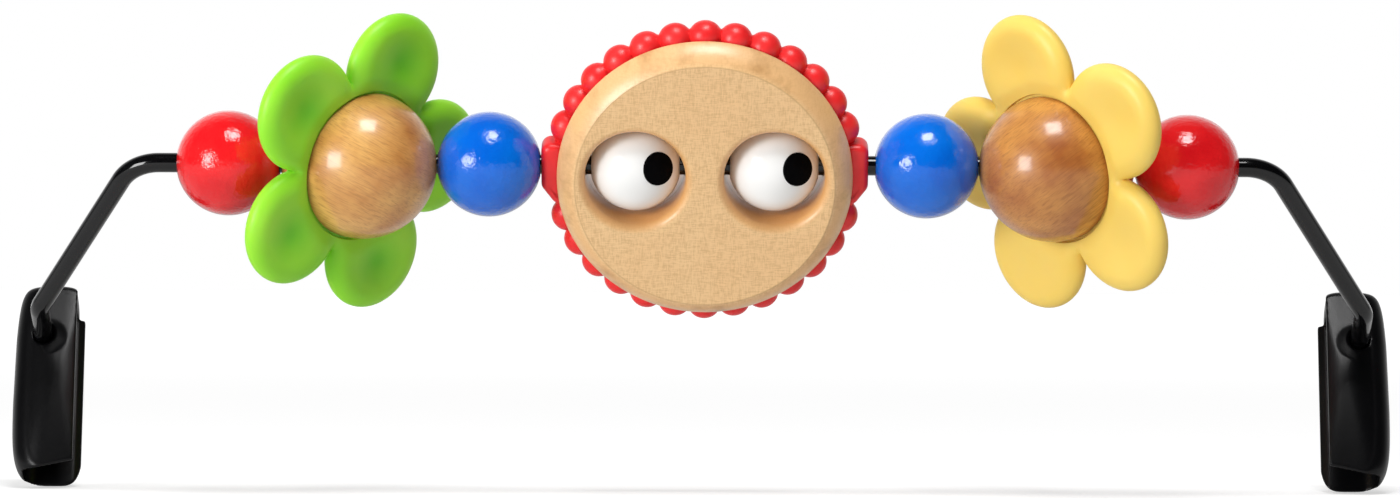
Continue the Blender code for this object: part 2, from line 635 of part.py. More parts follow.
def build_eye(name, pupil_name, parent):
    """A white ball on the rod, with a black stud let into its face."""
    eye = build_ball(name, EYE_RADIUS, material("gloss_white", WHITE, 0.15), parent)
    rim = sqrt(EYE_RADIUS ** 2 - PUPIL_RADIUS ** 2)
    base = rim + INLAY_GAP - PUPIL_THICKNESS
    pocket = PUPIL_RADIUS + INLAY_GAP
    cut(eye, turned(name + "_pocket", [(pocket, base - TOUCH_GAP), (pocket, EYE_RADIUS + OVERRUN)],
                    PUPIL_STEPS, pupil_frame()))
    widest = atan2(PUPIL_RADIUS, rim)
    crown = [(EYE_RADIUS * sin(widest * share), PUPIL_PROUD + EYE_RADIUS * cos(widest * share))
             for share in CROWN_SHARES]
    mesh = turned(pupil_name, [(PUPIL_RADIUS, base)] + crown, PUPIL_STEPS, pupil_frame())
    add_object(pupil_name, mesh, material("inlay_black", BLACK, 0.25), parent)
    return eye


def build_row(bar):
    """The toys in their order along the rod, each on a centre of its own on the rod's axis."""
    red = material("gloss_red", RED, 0.2)
    blue = material("gloss_blue", BLUE, 0.2)
    honey = material("honey_wood", HONEY_WOOD, 0.35)
    for name, x, finish in (("red_bead_left", LEFT_RED, red), ("blue_bead_left", LEFT_BLUE, blue),
                            ("blue_bead_right", RIGHT_BLUE, blue), ("red_bead_right", RIGHT_RED, red)):
        build_ball(name, BEAD_RADIUS, finish, add_empty(name + "_centre", (x, 0, 0), bar))

    green = material("satin_green", GREEN, 0.4)
    yellow = material("satin_yellow", YELLOW, 0.4)
    for colour, x, side, phase, finish in (("green", LEFT_FLOWER, 1, GREEN_PHASE, green),
                                           ("yellow", RIGHT_FLOWER, -1, YELLOW_PHASE, yellow)):
        centre = add_empty(colour + "_flower_centre", (x, 0, 0), bar)
        build_petals(colour + "_petals", side, phase, finish, centre)
        build_dome(colour + "_dome_front", side, 1, honey, centre)
        build_dome(colour + "_dome_rear", side, -1, honey, centre)

    head = add_empty("head_centre", (HEAD_SHIFT, 0, 0), bar)
    build_head_half("head_front", 1, HEAD_RADIUS, head)
    build_head_half("head_rear", -1, HEAD_RADIUS - REAR_INSET, head)
    build_ring("head_ring", head)
    for side, label in ((-1, "left"), (1, "right")):
        centre = add_empty("eye_" + label + "_centre", (HEAD_SHIFT + side * EYE_SPACING / 2, 0, 0), bar)
        build_eye("eye_" + label, "pupil_" + label, centre)


def build():
    """Clears the scene and builds the whole bar."""
    for thing in list(bpy.data.objects):
        bpy.data.objects.remove(thing)
    held = channel_middle()
    bar = add_empty("toy_bar", (0, -held.y, -held.z))
    build_rod(bar)
    build_clip(-1, "clip_left", bar)
    build_clip(1, "clip_right", bar)
    build_row(bar)
    bpy.context.view_layer.update()


build()
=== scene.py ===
"""Looks of the bouncer toy bar: fine pieces, materials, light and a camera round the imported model.

Lengths are in metres and angles in radians. The rod and its toys run along X and face -Y.
"""

import json
from math import atan2, cos, pi, radians, sin, sqrt, tan

import bmesh
import bpy
import numpy as np
from mathutils import Matrix, Vector


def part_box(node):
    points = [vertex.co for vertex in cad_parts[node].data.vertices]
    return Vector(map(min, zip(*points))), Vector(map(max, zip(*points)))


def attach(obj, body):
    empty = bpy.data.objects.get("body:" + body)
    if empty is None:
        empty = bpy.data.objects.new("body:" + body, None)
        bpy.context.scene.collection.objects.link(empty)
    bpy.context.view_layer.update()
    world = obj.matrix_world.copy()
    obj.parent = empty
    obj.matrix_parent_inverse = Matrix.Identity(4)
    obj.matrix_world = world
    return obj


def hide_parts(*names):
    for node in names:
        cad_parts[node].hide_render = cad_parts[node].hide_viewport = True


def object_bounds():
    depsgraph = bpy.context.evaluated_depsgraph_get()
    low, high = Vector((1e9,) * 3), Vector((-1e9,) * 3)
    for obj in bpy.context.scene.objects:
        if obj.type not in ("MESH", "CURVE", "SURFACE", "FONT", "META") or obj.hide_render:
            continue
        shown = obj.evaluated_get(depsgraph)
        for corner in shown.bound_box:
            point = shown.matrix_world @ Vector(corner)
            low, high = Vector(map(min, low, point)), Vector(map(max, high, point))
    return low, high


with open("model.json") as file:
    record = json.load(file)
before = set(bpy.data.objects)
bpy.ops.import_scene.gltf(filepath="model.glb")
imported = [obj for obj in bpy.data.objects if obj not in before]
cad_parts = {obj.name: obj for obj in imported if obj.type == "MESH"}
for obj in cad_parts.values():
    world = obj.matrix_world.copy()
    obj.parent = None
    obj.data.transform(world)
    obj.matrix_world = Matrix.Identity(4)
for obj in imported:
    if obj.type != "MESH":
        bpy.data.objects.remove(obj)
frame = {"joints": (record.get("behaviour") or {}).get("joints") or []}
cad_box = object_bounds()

# Clearances
TOUCH_GAP = 0.0003          # between pieces that rest on each other
RUNNING_GAP = 0.00035       # round the rod in a toy's bore
INLAY_GAP = 0.00015         # round a pupil in its eye
OVERRUN = 0.004             # how far a cutter runs past what it cuts

# Rod
ROD_RADIUS = 0.0029
END_SLACK = 0.0022          # bare rod from the right red bead to the bend
ARM_OUT = 0.0321            # from the upper corner to the lower one
ARM_BACK = 0.0380
ARM_DOWN = 0.0433
UPPER_BEND_RADIUS = 0.0135
LOWER_BEND_RADIUS = 0.0080
LEG_LENGTH = 0.0184         # from a lower corner to the face of its clip
LEG_PITCH = radians(25)
LEG_YAW = radians(3.5)
ROD_SEAT = 0.0125           # how deep the rod sits in its clip
BEND_STEPS = 28
ROD_SIDES = 40

# Clip, in its own frame: across (outward), up (along the channel) and in (away from the front face)
CLIP_INNER = 0.0116         # from the rod to the open side
FRONT_INSET = 0.0016        # how far the front wall stops short of that
CLIP_OUTER = 0.0057         # from the rod to the outer side, at the front face
CLIP_BULGE = 0.0034         # how far the outer side swells past that
CLIP_TOP = 0.0176
CLIP_BOTTOM = 0.0450
CLIP_DEPTH = 0.0195
CLIP_BOW = 0.0016           # how far the outer side curves in at the top
CLIP_ARCH = 0.0013          # how far the top curves down at its ends
FRONT_CROWN = 0.0008        # how far the middle of the front face stands out
FRONT_START = 0.0015        # how far its outline lies back, for a full swell
CROWN_RINGS = 12
FRONT_ROUND = 0.0030        # how far the front's outer and top edges are rounded
FRONT_ROUND_DEPTH = 0.0048
LOW_ROUND_SHARE = 0.4       # of FRONT_ROUND, at the lower edge
CLIP_ROUND = 0.0040         # how far the rear edge is rounded in
CLIP_ROUND_SHARE = 0.35     # share of the depth over which it is rounded
CLIP_TRIM = 0.0007          # cut off flat on the open side
OUTER_SQUARENESS = 10.0     # of the outline's upper outer corner
INNER_SQUARENESS = 7.0      # of its upper inner one
LOWER_SQUARENESS = 4.6      # and of both lower ones
CLIP_WALL = 0.0026          # front and rear walls
OUTER_WALL = 0.0039         # outside the channel, at its fullest
CHANNEL_TOP = 0.0070        # from the rod down to the channel's upper end
CHANNEL_FILLET = 0.0045
CHANNEL_STEPS = 16
LEAD_IN = 0.0012            # how far the mouth of the channel opens
LEAD_IN_LENGTH = 0.0020
SLOT_DEPTH = 0.0035         # of the recess in the open side above the channel
SHOULDER = 0.0118           # from the rod up to the step in the open side
STEP_BACK = 0.0019          # how far the open side lies back above it
FRONT_CUT_INNER = 0.0038    # how much shorter the front wall is at the open side
FRONT_CUT_OUTER = 0.0004    # and at its outer end
FRONT_EDGE_INSET = 0.0012   # from there out to the channel's floor
DISH_RADIUS = 0.0060        # hollow round the rod's hole
DISH_DEPTH = 0.0006
DISH_STEPS = 14
DISH_OVERRUN_SHARE = 1.3    # of its radius, how far its cutter reaches
HOLE_FLARE = 0.0008
HOLE_STEPS = 48
CLIP_POINTS = 112
CLIP_SECTIONS = 34
CLIP_VOXEL = 0.00038        # grain of the remesh that rounds the clip's edges
CLIP_RELAX_FACTOR = 0.5
CLIP_RELAX_STEPS = 5
CLIP_KEPT_SHARE = 0.35      # of the remesh's faces

# Flowers
DOME_RADIUS = 0.0218
WEB_THICKNESS = 0.0030      # of the petals between the two domes
FLOWER_ANGLE = radians(45)  # between the rod and the petals' axis
FLOWER_SPIN = radians(22)   # how far each flower has nodded forward on the rod
PETAL_COUNT = 5
GREEN_PHASE = radians(-28.3)    # of the first petal round the flower's axis
YELLOW_PHASE = radians(-25.2)
PETAL_REACH = 0.0073        # from the dome's edge out to a petal's middle
PETAL_OVERLAP = 0.0003      # of one petal's circle past the line between two
PETAL_EDGE = 0.0040         # half the thickness at the puffed edge
PETAL_ROLL = 0.0062         # how far in from the outline the edge is fully puffed
PETAL_COLLAR = 0.0027       # half the thickness beside a dome
COLLAR_EASE = 0.0055        # over which the thickness falls towards the dome
DOME_GROOVE = 0.0006        # between the dome and the petals
DIMPLE_DEPTH = 0.0019
DIMPLE_RADIUS = 0.0060
DIMPLE_DISTANCE = 0.0318    # from the flower's axis
LOBE_STEPS = 40
PETAL_LEVELS = 26
DOME_STEPS = 112
DOME_RINGS = 30

# Head
NOSE_WIDTH = 0.0113         # wood between the two sockets
CHEEK_WIDTH = 0.00835       # wood between a socket and the rim
EDGE_WIDTH = 0.0054         # of the rounding between the flat face and the rim
HEAD_THICKNESS = 0.0238
RIM_LAND = 0.0004           # plain rim between the cove and the rounding
REAR_INSET = 0.0014         # how much smaller the rear half is
HEAD_DROP = 0.0019          # how far the head's middle lies below the rod
HEAD_TILT = radians(25)
ROUNDING_START = radians(22)    # stretch of the ellipse that rounds the edge, from the rim
ROUNDING_END = radians(62)      # to the crease at the face
ROUNDING_STEPS = 14
HEAD_STEPS = 180
COVE_STEPS = 12
RING_SINK = 0.0007          # how far the ring's centre line lies inside the rim
RING_BEAD = 0.0049          # radius of one round bump
RING_NECK = 0.0025          # radius of the cord between two bumps
RING_BUMPS = 13             # over the top, and as many below
RING_PITCH = radians(11.8)
RING_SIDES = 28
BUMP_STEPS = 20
EAR_STEPS = 12
EAR_TOP = 0.0099            # from the head's middle up to the top of an ear
EAR_BOTTOM = 0.0094         # and down to its foot
EAR_SINK = 0.0021           # how far an ear reaches in from the rim
EAR_REACH = 0.0046          # and how far it stands out
EAR_GAP = 0.00045           # between an ear and the sides of the cove
EAR_CORNER = 0.0030         # rounding of its outline
EAR_TAPER = 0.0040          # how much narrower its foot is
EAR_TAPER_LENGTH = 0.0055
EAR_ROUND = 0.0022          # rounding of its front and rear edges
EAR_ROUND_STEPS = 8

# Eyes
EYE_RADIUS = 0.0135
EYE_CLEARANCE = 0.0013
SOCKET_FLARE = 0.0025       # how much wider the socket opens at the face
SOCKET_FLARE_DEPTH = 0.0030
SOCKET_STEPS = 96
FLARE_STEPS = 10
PUPIL_RADIUS = 0.00485
PUPIL_THICKNESS = 0.0015
PUPIL_PROUD = 0.0006        # how far it stands out of the eye
PUPIL_TURN = radians(32)    # towards +X from straight ahead
PUPIL_NOD = radians(7)
PUPIL_STEPS = 64
PUPIL_RINGS = 8

# Toys in general
BEAD_RADIUS = 0.0155
HEAD_SHIFT = 0.0007         # of the head's middle from the middle of the bar
ROW_SLACK = 0.0021          # bare rod between the head and the right blue bead
BALL_STEPS = 112
BALL_RINGS = 64
BORE_STEPS = 48
BORE_CHAMFER = 0.0004
SHARP_ANGLE = radians(35)   # an edge that turns more is shaded sharp
HEAD_SHARP_ANGLE = radians(24)
RING_SHARP_ANGLE = radians(50)

# Derived sizes
BORE_RADIUS = ROD_RADIUS + RUNNING_GAP
HOLE_RADIUS = ROD_RADIUS + TOUCH_GAP
BEAD_HALF = sqrt(BEAD_RADIUS ** 2 - BORE_RADIUS ** 2)
DOME_BASE = WEB_THICKNESS / 2 + TOUCH_GAP
DOME_OFFSET = DOME_BASE * sin(FLOWER_ANGLE)
FLOWER_HALF = DOME_OFFSET + sqrt(DOME_RADIUS ** 2 - (BORE_RADIUS - DOME_OFFSET) ** 2)
LOBE_DISTANCE = DOME_RADIUS + PETAL_REACH
LOBE_RADIUS = LOBE_DISTANCE * sin(pi / PETAL_COUNT) + PETAL_OVERLAP
SOCKET_RADIUS = EYE_RADIUS + EYE_CLEARANCE
EYE_SPACING = NOSE_WIDTH + 2 * SOCKET_RADIUS
HEAD_RADIUS = EYE_SPACING / 2 + SOCKET_RADIUS + CHEEK_WIDTH
FACE_HEIGHT = HEAD_THICKNESS / 2
RING_RADIUS = HEAD_RADIUS - RING_SINK
COVE_RADIUS = RING_BEAD + RUNNING_GAP
EAR_INNER = HEAD_RADIUS - EAR_SINK
EAR_OUTER = HEAD_RADIUS + EAR_REACH
EAR_DEPTH = 2 * (sqrt(COVE_RADIUS ** 2 - (RING_RADIUS - EAR_INNER) ** 2) - EAR_GAP)
CLIP_FLOOR = CLIP_OUTER + CLIP_BULGE - OUTER_WALL
CLIP_REAR = CLIP_DEPTH - CLIP_WALL      # where the rear wall begins
CLIP_ASIDE = -CLIP_INNER - OVERRUN      # across, just off the open side
TOY_STEP = BEAD_HALF + TOUCH_GAP + FLOWER_HALF
RIGHT_RED = HEAD_SHIFT + EAR_OUTER + ROW_SLACK + BEAD_HALF + 2 * TOY_STEP
UPPER_BEND = atan2(sqrt(ARM_BACK ** 2 + ARM_DOWN ** 2), ARM_OUT)
CORNER_X = RIGHT_RED + BEAD_HALF + END_SLACK + UPPER_BEND_RADIUS * tan(UPPER_BEND / 2)

# Where the rod's middle and right arm would meet, and that arm and its leg, from the rod's middle
UPPER_CORNER = Vector((CORNER_X, 0, 0))
LOWER_CORNER = UPPER_CORNER + Vector((ARM_OUT, ARM_BACK, -ARM_DOWN))

# Where the frame says that each toy turns on the rod
CENTRES = {joint["child"]: Vector(joint["pos_m"]) for joint in frame["joints"] if joint.get("pos_m")}
ROD_MIDDLE = Vector((0, CENTRES["head"].y, CENTRES["head"].z))
LEFT_RED_X = (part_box("red_bead_left")[0].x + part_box("red_bead_left")[1].x) / 2
CENTRES["red_bead_left"] = Vector((LEFT_RED_X, ROD_MIDDLE.y, ROD_MIDDLE.z))

# Patterns in the materials: waves per metre across, up and in, and the widths of toned edges and of painted
# shade
NOISE_LOW = 0.3             # a noise seldom goes below this
NOISE_HIGH = 0.7            # or above this one
FIBRES = (190, 600, 2900)
UPRIGHT_WEAVE = (3000, 420, 900)
LEVEL_WEAVE = (420, 2700, 900)
RIM_STREAKS = (90, 90, 22)
YEAR_RINGS = 115.0
DIMPLE_SHADE_CORE_SHARE = 0.2     # of a dimple's radius, where the painted shade in its hollow is full
DIMPLE_SHADE_FADE_SHARE = 1.5     # and where it is gone
RIM_FADE_SHARE = 0.25       # of the rounding's width, where the rim's tone is full
LIP_FADE = 0.0002           # inside a socket's mouth, where its tone begins
LIP_WIDTH = 0.0022          # and where it is full
CREASE_WIDTH = 0.00008      # off the crease, where its painted shade line is full
CREASE_FADE = 0.00034       # and where it is gone

# Camera: the photograph's frame, its scale at the rod and how far it is turned
PHOTO_WIDTH = 1400
PIXELS_PER_MM = 3.387
SENSOR_WIDTH = 36
CAMERA_DISTANCE = 1.5
CAMERA_SHIFT = -0.0006
CAMERA_DROP = 0.0251        # below the rod
CAMERA_ROLL = radians(-0.26)

# Light
AMBIENT = 0.50              # of the white room, for what it lights
AMBIENT_LEAN = (-0.6, 0.5, 0.0)    # how much brighter it is on the left and at the back
FRONT_MIRROR = 0.02         # how bright the room behind the camera looks in a gloss
BACK_MIRROR = 1.1           # and the room behind the toys
BACK_START = 0.2            # how far round to the back it begins to brighten
LAMP_DISTANCE = 1.3
LAMPS = (("key", radians(8), radians(64), 0.46, 10.5),     # name, azimuth, elevation, size, power
         ("fill", radians(-45), radians(6), 0.48, 10.0))
FLOOR_GAP = 0.0006
FLOOR_SIZE = 14.0
FLOOR_GREY = 0.64
FLOOR_GLOW = 0.41           # of the floor by the toys, for the camera alone
FAR_GLOW = 0.78             # and far from them, where no lamp reaches
FAR_AWAY = 2.5              # how far that is


def rgb(red, green, blue):
    """A screen colour, from 0 to 255, as the linear colour that a shader takes."""
    shares = [value / 255 for value in (red, green, blue)]
    return tuple(s / 12.92 if s < 0.04045 else ((s + 0.055) / 1.055) ** 2.4 for s in shares) + (1.0,)


# Meshes
def closed(shape, mesh):
    """Writes a closed shape into a mesh, with its faces outward, and lets the shape go."""
    bmesh.ops.recalc_face_normals(shape, faces=shape.faces)
    shape.to_mesh(mesh)
    shape.free()
    return mesh


def skin(rings, loop=False):
    """Joins rings of points into a closed mesh: a loop, or else capped at both ends."""
    shape = bmesh.new()
    rows = [[shape.verts.new(point) for point in ring] for ring in rings]
    pairs = list(zip(rows, rows[1:]))
    if loop:
        pairs.append((rows[-1], rows[0]))
    for low, high in pairs:
        for i in range(len(low)):
            j = (i + 1) % len(low)
            shape.faces.new((low[i], low[j], high[j], high[i]))
    if not loop:
        shape.faces.new(rows[0])
        shape.faces.new(rows[-1])
    return closed(shape, bpy.data.meshes.new("skin"))


def turned(profile, steps, loop=False):
    """A profile of (radius, height) pairs turned about Z."""
    rings = []
    for radius, height in profile:
        rings.append([Vector((radius * cos(2 * pi * i / steps), radius * sin(2 * pi * i / steps), height))
                      for i in range(steps)])
    return skin(rings, loop)


def placed(mesh, matrix):
    """Moves a mesh to its place, and keeps its faces outward if that mirrors it."""
    mesh.transform(matrix)
    if matrix.determinant() < 0:
        mesh.flip_normals()
    return mesh


def prism(outline, low, high):
    """An outline of (x, y) points drawn up along Z."""
    return skin([[Vector((x, y, z)) for x, y in outline] for z in (low, high)])


def rounded(mesh, radius, segments):
    """A prism with the edges of its two ends rounded."""
    shape = bmesh.new()
    shape.from_mesh(mesh)
    edges = [edge for edge in shape.edges if abs(edge.verts[0].co.z - edge.verts[1].co.z) < TOUCH_GAP]
    bmesh.ops.bevel(shape, geom=edges, offset=radius, segments=segments, profile=0.5, affect="EDGES")
    return closed(shape, mesh)


def add_object(name, data):
    """An object with that mesh, lamp or camera, put in the scene."""
    made = bpy.data.objects.new(name, data)
    bpy.context.scene.collection.objects.link(made)
    return made


def with_modifiers(mesh, add_modifiers):
    """The mesh as it is once modifiers have been put on it."""
    thing = add_object("work", mesh)
    add_modifiers(thing)
    graph = bpy.context.evaluated_depsgraph_get()
    result = bpy.data.meshes.new_from_object(thing.evaluated_get(graph))
    bpy.data.objects.remove(thing)
    return result


def carved(mesh, cutter, operation="DIFFERENCE"):
    """The mesh cut with another one, or joined with it."""
    tool = add_object("tool", cutter)

    def add_boolean(thing):
        boolean = thing.modifiers.new("cut", "BOOLEAN")
        boolean.operation = operation
        boolean.solver = "EXACT"
        boolean.object = tool

    result = with_modifiers(mesh, add_boolean)
    bpy.data.objects.remove(tool)
    return result


def add_piece(node, mesh, body, material, sharp=SHARP_ANGLE):
    """A fine piece that stands for one node of the model and moves with its body."""
    piece = add_object(node + "_fine", mesh)
    mesh.name = piece.name
    mesh.shade_smooth()
    mesh.set_sharp_from_angle(angle=sharp)
    mesh.materials.clear()
    mesh.materials.append(material)
    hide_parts(node)
    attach(piece, body)


def bored(mesh, centre):
    """Bores a toy for the rod, along X through its centre."""
    reach = HEAD_RADIUS + 2 * OVERRUN
    drill = turned([(BORE_RADIUS, -reach), (BORE_RADIUS, reach)], BORE_STEPS)
    return carved(mesh, placed(drill, Matrix.Translation(centre) @ Matrix.Rotation(pi / 2, 4, "Y")))


# Frames of the pieces
def mirror_if(side):
    """The identity on the right, and a mirror in X on the left."""
    return Matrix.Diagonal((side, 1, 1, 1))


def clip_frame():
    """The right clip's frame: X across, Y in from the mouth of the rod's hole, Z up the channel."""
    turn = Matrix.Rotation(-LEG_YAW, 4, "Z") @ Matrix.Rotation(-LEG_PITCH, 4, "X")
    mouth = LOWER_CORNER + turn.to_3x3() @ Vector((0, LEG_LENGTH, 0))
    return Matrix.Translation(mouth) @ turn


def flower_frame(side, centre):
    """The flower's frame: Z along its axis, X up in the plane of the petals."""
    spin = Matrix.Rotation(FLOWER_SPIN, 3, "X")
    axis = spin @ Vector((cos(FLOWER_ANGLE), -sin(FLOWER_ANGLE), 0))
    up = spin @ Vector((0, 0, 1))
    turn = Matrix((up, axis.cross(up), axis)).transposed().to_4x4()
    return Matrix.Translation(centre) @ mirror_if(side) @ turn


def head_frame():
    """The head's frame: Z out of its face and Y up, with the rod HEAD_DROP above the middle."""
    facing = Matrix.Rotation(pi / 2, 4, "X")
    drop = Matrix.Translation((0, 0, -HEAD_DROP))
    return Matrix.Translation(CENTRES["head"]) @ Matrix.Rotation(HEAD_TILT, 4, "X") @ drop @ facing


def pupil_frame(centre):
    """Z points out of the eye through the middle of its pupil."""
    out = Matrix.Rotation(PUPIL_NOD, 3, "X") @ Vector((sin(PUPIL_TURN), -cos(PUPIL_TURN), 0))
    return Matrix.Translation(centre) @ out.to_track_quat("Z", "Y").to_matrix().to_4x4()


# Rod
def fillet(before, corner, after, radius, steps):
    """Points of the arc that rounds a corner."""
    back = (before - corner).normalized()
    ahead = (after - corner).normalized()
    half = back.angle(ahead) / 2
    middle = corner + (back + ahead).normalized() * (radius / sin(half))
    start = corner + back * (radius / tan(half)) - middle
    turn_axis = back.cross(ahead).normalized()
    total = pi - 2 * half
    return [middle + Matrix.Rotation(-total * i / steps, 3, turn_axis) @ start for i in range(steps + 1)]


def tube(path, radius, sides):
    """A round bar along a path."""
    rings = []
    normal = Vector((0, 0, 1))
    for i, point in enumerate(path):
        ahead = path[min(i + 1, len(path) - 1)] - point
        behind = point - path[max(i - 1, 0)]
        along = (ahead.normalized() + behind.normalized()).normalized()
        normal = (normal - along * normal.dot(along)).normalized()
        side = along.cross(normal)
        rings.append([point + radius * (cos(2 * pi * k / sides) * normal + sin(2 * pi * k / sides) * side)
                      for k in range(sides)])
    return skin(rings)


def make_rod(material):
    """The bent rod, its two arms and the legs that go into the clips."""
    rod_end = clip_frame() @ Vector((0, ROD_SEAT, 0))
    half = fillet(Vector(), UPPER_CORNER, LOWER_CORNER, UPPER_BEND_RADIUS, BEND_STEPS)
    half += fillet(UPPER_CORNER, LOWER_CORNER, rod_end, LOWER_BEND_RADIUS, BEND_STEPS)
    half.append(rod_end)
    mirrored = [Vector((-point.x, point.y, point.z)) for point in reversed(half)]
    path = [ROD_MIDDLE + point for point in mirrored + half]
    add_piece("bar_rod", tube(path, ROD_RADIUS, ROD_SIDES), "frame", material)


# Clips
def clip_section(share):
    """The clip's outline at a share of its depth, as points in the clip's frame."""
    late = max(0.0, (share - 1 + CLIP_ROUND_SHARE) / CLIP_ROUND_SHARE)
    early = max(0.0, 1 - (share * CLIP_DEPTH - FRONT_START) / FRONT_ROUND_DEPTH)
    rear = CLIP_ROUND * (1 - sqrt(1 - late ** 2))
    front = FRONT_ROUND * (1 - sqrt(1 - early ** 2))
    outer = CLIP_OUTER + CLIP_BULGE * (1 - (2 * share - 1) ** 2) - rear - front
    inner = -CLIP_INNER - CLIP_TRIM
    top = CLIP_TOP - rear - front
    bottom = -CLIP_BOTTOM + rear + LOW_ROUND_SHARE * front
    points = []
    for i in range(CLIP_POINTS):
        angle = 2 * pi * (i + 0.5) / CLIP_POINTS
        squareness = LOWER_SQUARENESS
        if sin(angle) > 0:
            squareness = OUTER_SQUARENESS if cos(angle) > 0 else INNER_SQUARENESS
        across = abs(cos(angle)) ** (2 / squareness) * (1 if cos(angle) > 0 else -1)
        up = abs(sin(angle)) ** (2 / squareness) * (1 if sin(angle) > 0 else -1)
        bow = CLIP_BOW * max(0.0, up) ** 2 * max(0.0, across)
        arch = CLIP_ARCH * across ** 2 * max(0.0, up)
        points.append(Vector(((outer + inner) / 2 + across * (outer - inner) / 2 - bow,
                              share * CLIP_DEPTH,
                              (top + bottom) / 2 + up * (top - bottom) / 2 - arch)))
    return points


def crown_rings(section):
    """Smaller and smaller copies of the front outline, each further out, for the front's swell."""
    middle = sum(section, Vector()) / len(section)
    rings = []
    for share in [i / CROWN_RINGS for i in range(1, CROWN_RINGS)]:
        out = Vector((0, (FRONT_START + FRONT_CROWN) * (1 - share ** 2), 0))
        rings.append([middle + share * (point - middle) - out for point in section])
    return rings


def square_cut(depth, low, high):
    """An outline across the clip: from outside the open side to that depth in it, between two walls."""
    return [(CLIP_ASIDE, low), (-CLIP_INNER + depth, low), (-CLIP_INNER + depth, high), (CLIP_ASIDE, high)]


def flared_end():
    """The rear end of the channel's and the slot's outline, where the mouth opens."""
    return [(-CLIP_INNER + LEAD_IN_LENGTH, CLIP_REAR),
            (CLIP_ASIDE, CLIP_REAR + LEAD_IN + OVERRUN * LEAD_IN / LEAD_IN_LENGTH)]


def channel_outline():
    """The channel for the bouncer's tube, rounded at its floor and open at its mouth."""
    outline = [(CLIP_ASIDE, CLIP_WALL)]
    for corner_y, first in ((CLIP_WALL + CHANNEL_FILLET, -pi / 2), (CLIP_REAR - CHANNEL_FILLET, 0)):
        for i in range(CHANNEL_STEPS + 1):
            angle = first + pi / 2 * i / CHANNEL_STEPS
            outline.append((CLIP_FLOOR - CHANNEL_FILLET + CHANNEL_FILLET * cos(angle),
                            corner_y + CHANNEL_FILLET * sin(angle)))
    return outline + flared_end()


def open_side_outline():
    """What is cut off flat on the open side, more from the front wall than from the rear one."""
    front_end = -CLIP_INNER + FRONT_INSET
    step = CLIP_WALL + TOUCH_GAP
    return [(CLIP_ASIDE, -OVERRUN), (front_end, -OVERRUN), (front_end, step), (-CLIP_INNER, step),
            (-CLIP_INNER, CLIP_DEPTH + OVERRUN), (CLIP_ASIDE, CLIP_DEPTH + OVERRUN)]


def front_edge_cutter():
    """What is cut off the front wall's slanting lower edge."""
    end = CLIP_FLOOR - FRONT_EDGE_INSET
    slant = (FRONT_CUT_INNER - FRONT_CUT_OUTER) / (end + CLIP_INNER)
    outline = [(CLIP_ASIDE, -CLIP_BOTTOM + FRONT_CUT_INNER + slant * OVERRUN),
               (end, -CLIP_BOTTOM + FRONT_CUT_OUTER),
               (end, -CLIP_BOTTOM - OVERRUN), (CLIP_ASIDE, -CLIP_BOTTOM - OVERRUN)]
    across_wall = Matrix(((1, 0, 0, 0), (0, 0, 1, 0), (0, 1, 0, 0), (0, 0, 0, 1)))
    return placed(prism(outline, -OVERRUN, CLIP_WALL + CHANNEL_FILLET / 2), across_wall)


def dish_cutter():
    """The shallow dish round the rod's hole."""
    profile = []
    for i in range(1, DISH_STEPS + 1):
        share = DISH_OVERRUN_SHARE * i / DISH_STEPS
        profile.append((DISH_RADIUS * share, DISH_DEPTH * (1 - share ** 2)))
    profile.append((profile[-1][0], -OVERRUN))
    return placed(turned(profile, HOLE_STEPS), Matrix.Rotation(-pi / 2, 4, "X"))


def hole_cutter():
    """The rod's hole, flared where it meets the dish."""
    mouth_radius = HOLE_RADIUS + HOLE_FLARE
    profile = [(HOLE_RADIUS, ROD_SEAT + TOUCH_GAP), (HOLE_RADIUS, HOLE_FLARE + DISH_DEPTH),
               (mouth_radius, DISH_DEPTH), (mouth_radius, -OVERRUN)]
    return placed(turned(profile, HOLE_STEPS), Matrix.Rotation(-pi / 2, 4, "X"))


def clip_cutters():
    """What is cut from the clip, in its own frame."""
    below = -CLIP_BOTTOM - OVERRUN
    above = CLIP_TOP + OVERRUN
    slot = square_cut(SLOT_DEPTH, CLIP_WALL, CLIP_REAR)[:-1] + flared_end()
    step = square_cut(STEP_BACK, CLIP_WALL, CLIP_DEPTH + OVERRUN)
    return [prism(open_side_outline(), below, above),
            prism(channel_outline(), below, -CHANNEL_TOP),
            prism(slot, -CHANNEL_TOP - OVERRUN, SHOULDER + TOUCH_GAP),
            prism(step, SHOULDER, above),
            front_edge_cutter(),
            dish_cutter(),
            hole_cutter()]


def add_rounding(thing):
    """Rounds every edge a little, as on a moulding."""
    remesh = thing.modifiers.new("remesh", "REMESH")
    remesh.mode = "VOXEL"
    remesh.voxel_size = CLIP_VOXEL
    relax = thing.modifiers.new("relax", "SMOOTH")
    relax.factor = CLIP_RELAX_FACTOR
    relax.iterations = CLIP_RELAX_STEPS
    thin = thing.modifiers.new("thin", "DECIMATE")
    thin.ratio = CLIP_KEPT_SHARE


def make_clip(side, node, material):
    """A moulded channel clip with softly rounded edges."""
    first = FRONT_START / CLIP_DEPTH
    sections = []
    for i in range(CLIP_SECTIONS + 1):
        sections.append(clip_section(first + (1 - first) * (1 - cos(pi * i / CLIP_SECTIONS)) / 2))
    mesh = skin(crown_rings(sections[0]) + sections)
    for cutter in clip_cutters():
        mesh = carved(mesh, cutter)
    mesh = with_modifiers(mesh, add_rounding)
    place = Matrix.Translation(ROD_MIDDLE) @ mirror_if(side) @ clip_frame()
    add_piece(node, placed(mesh, place), "frame", material, sharp=pi)


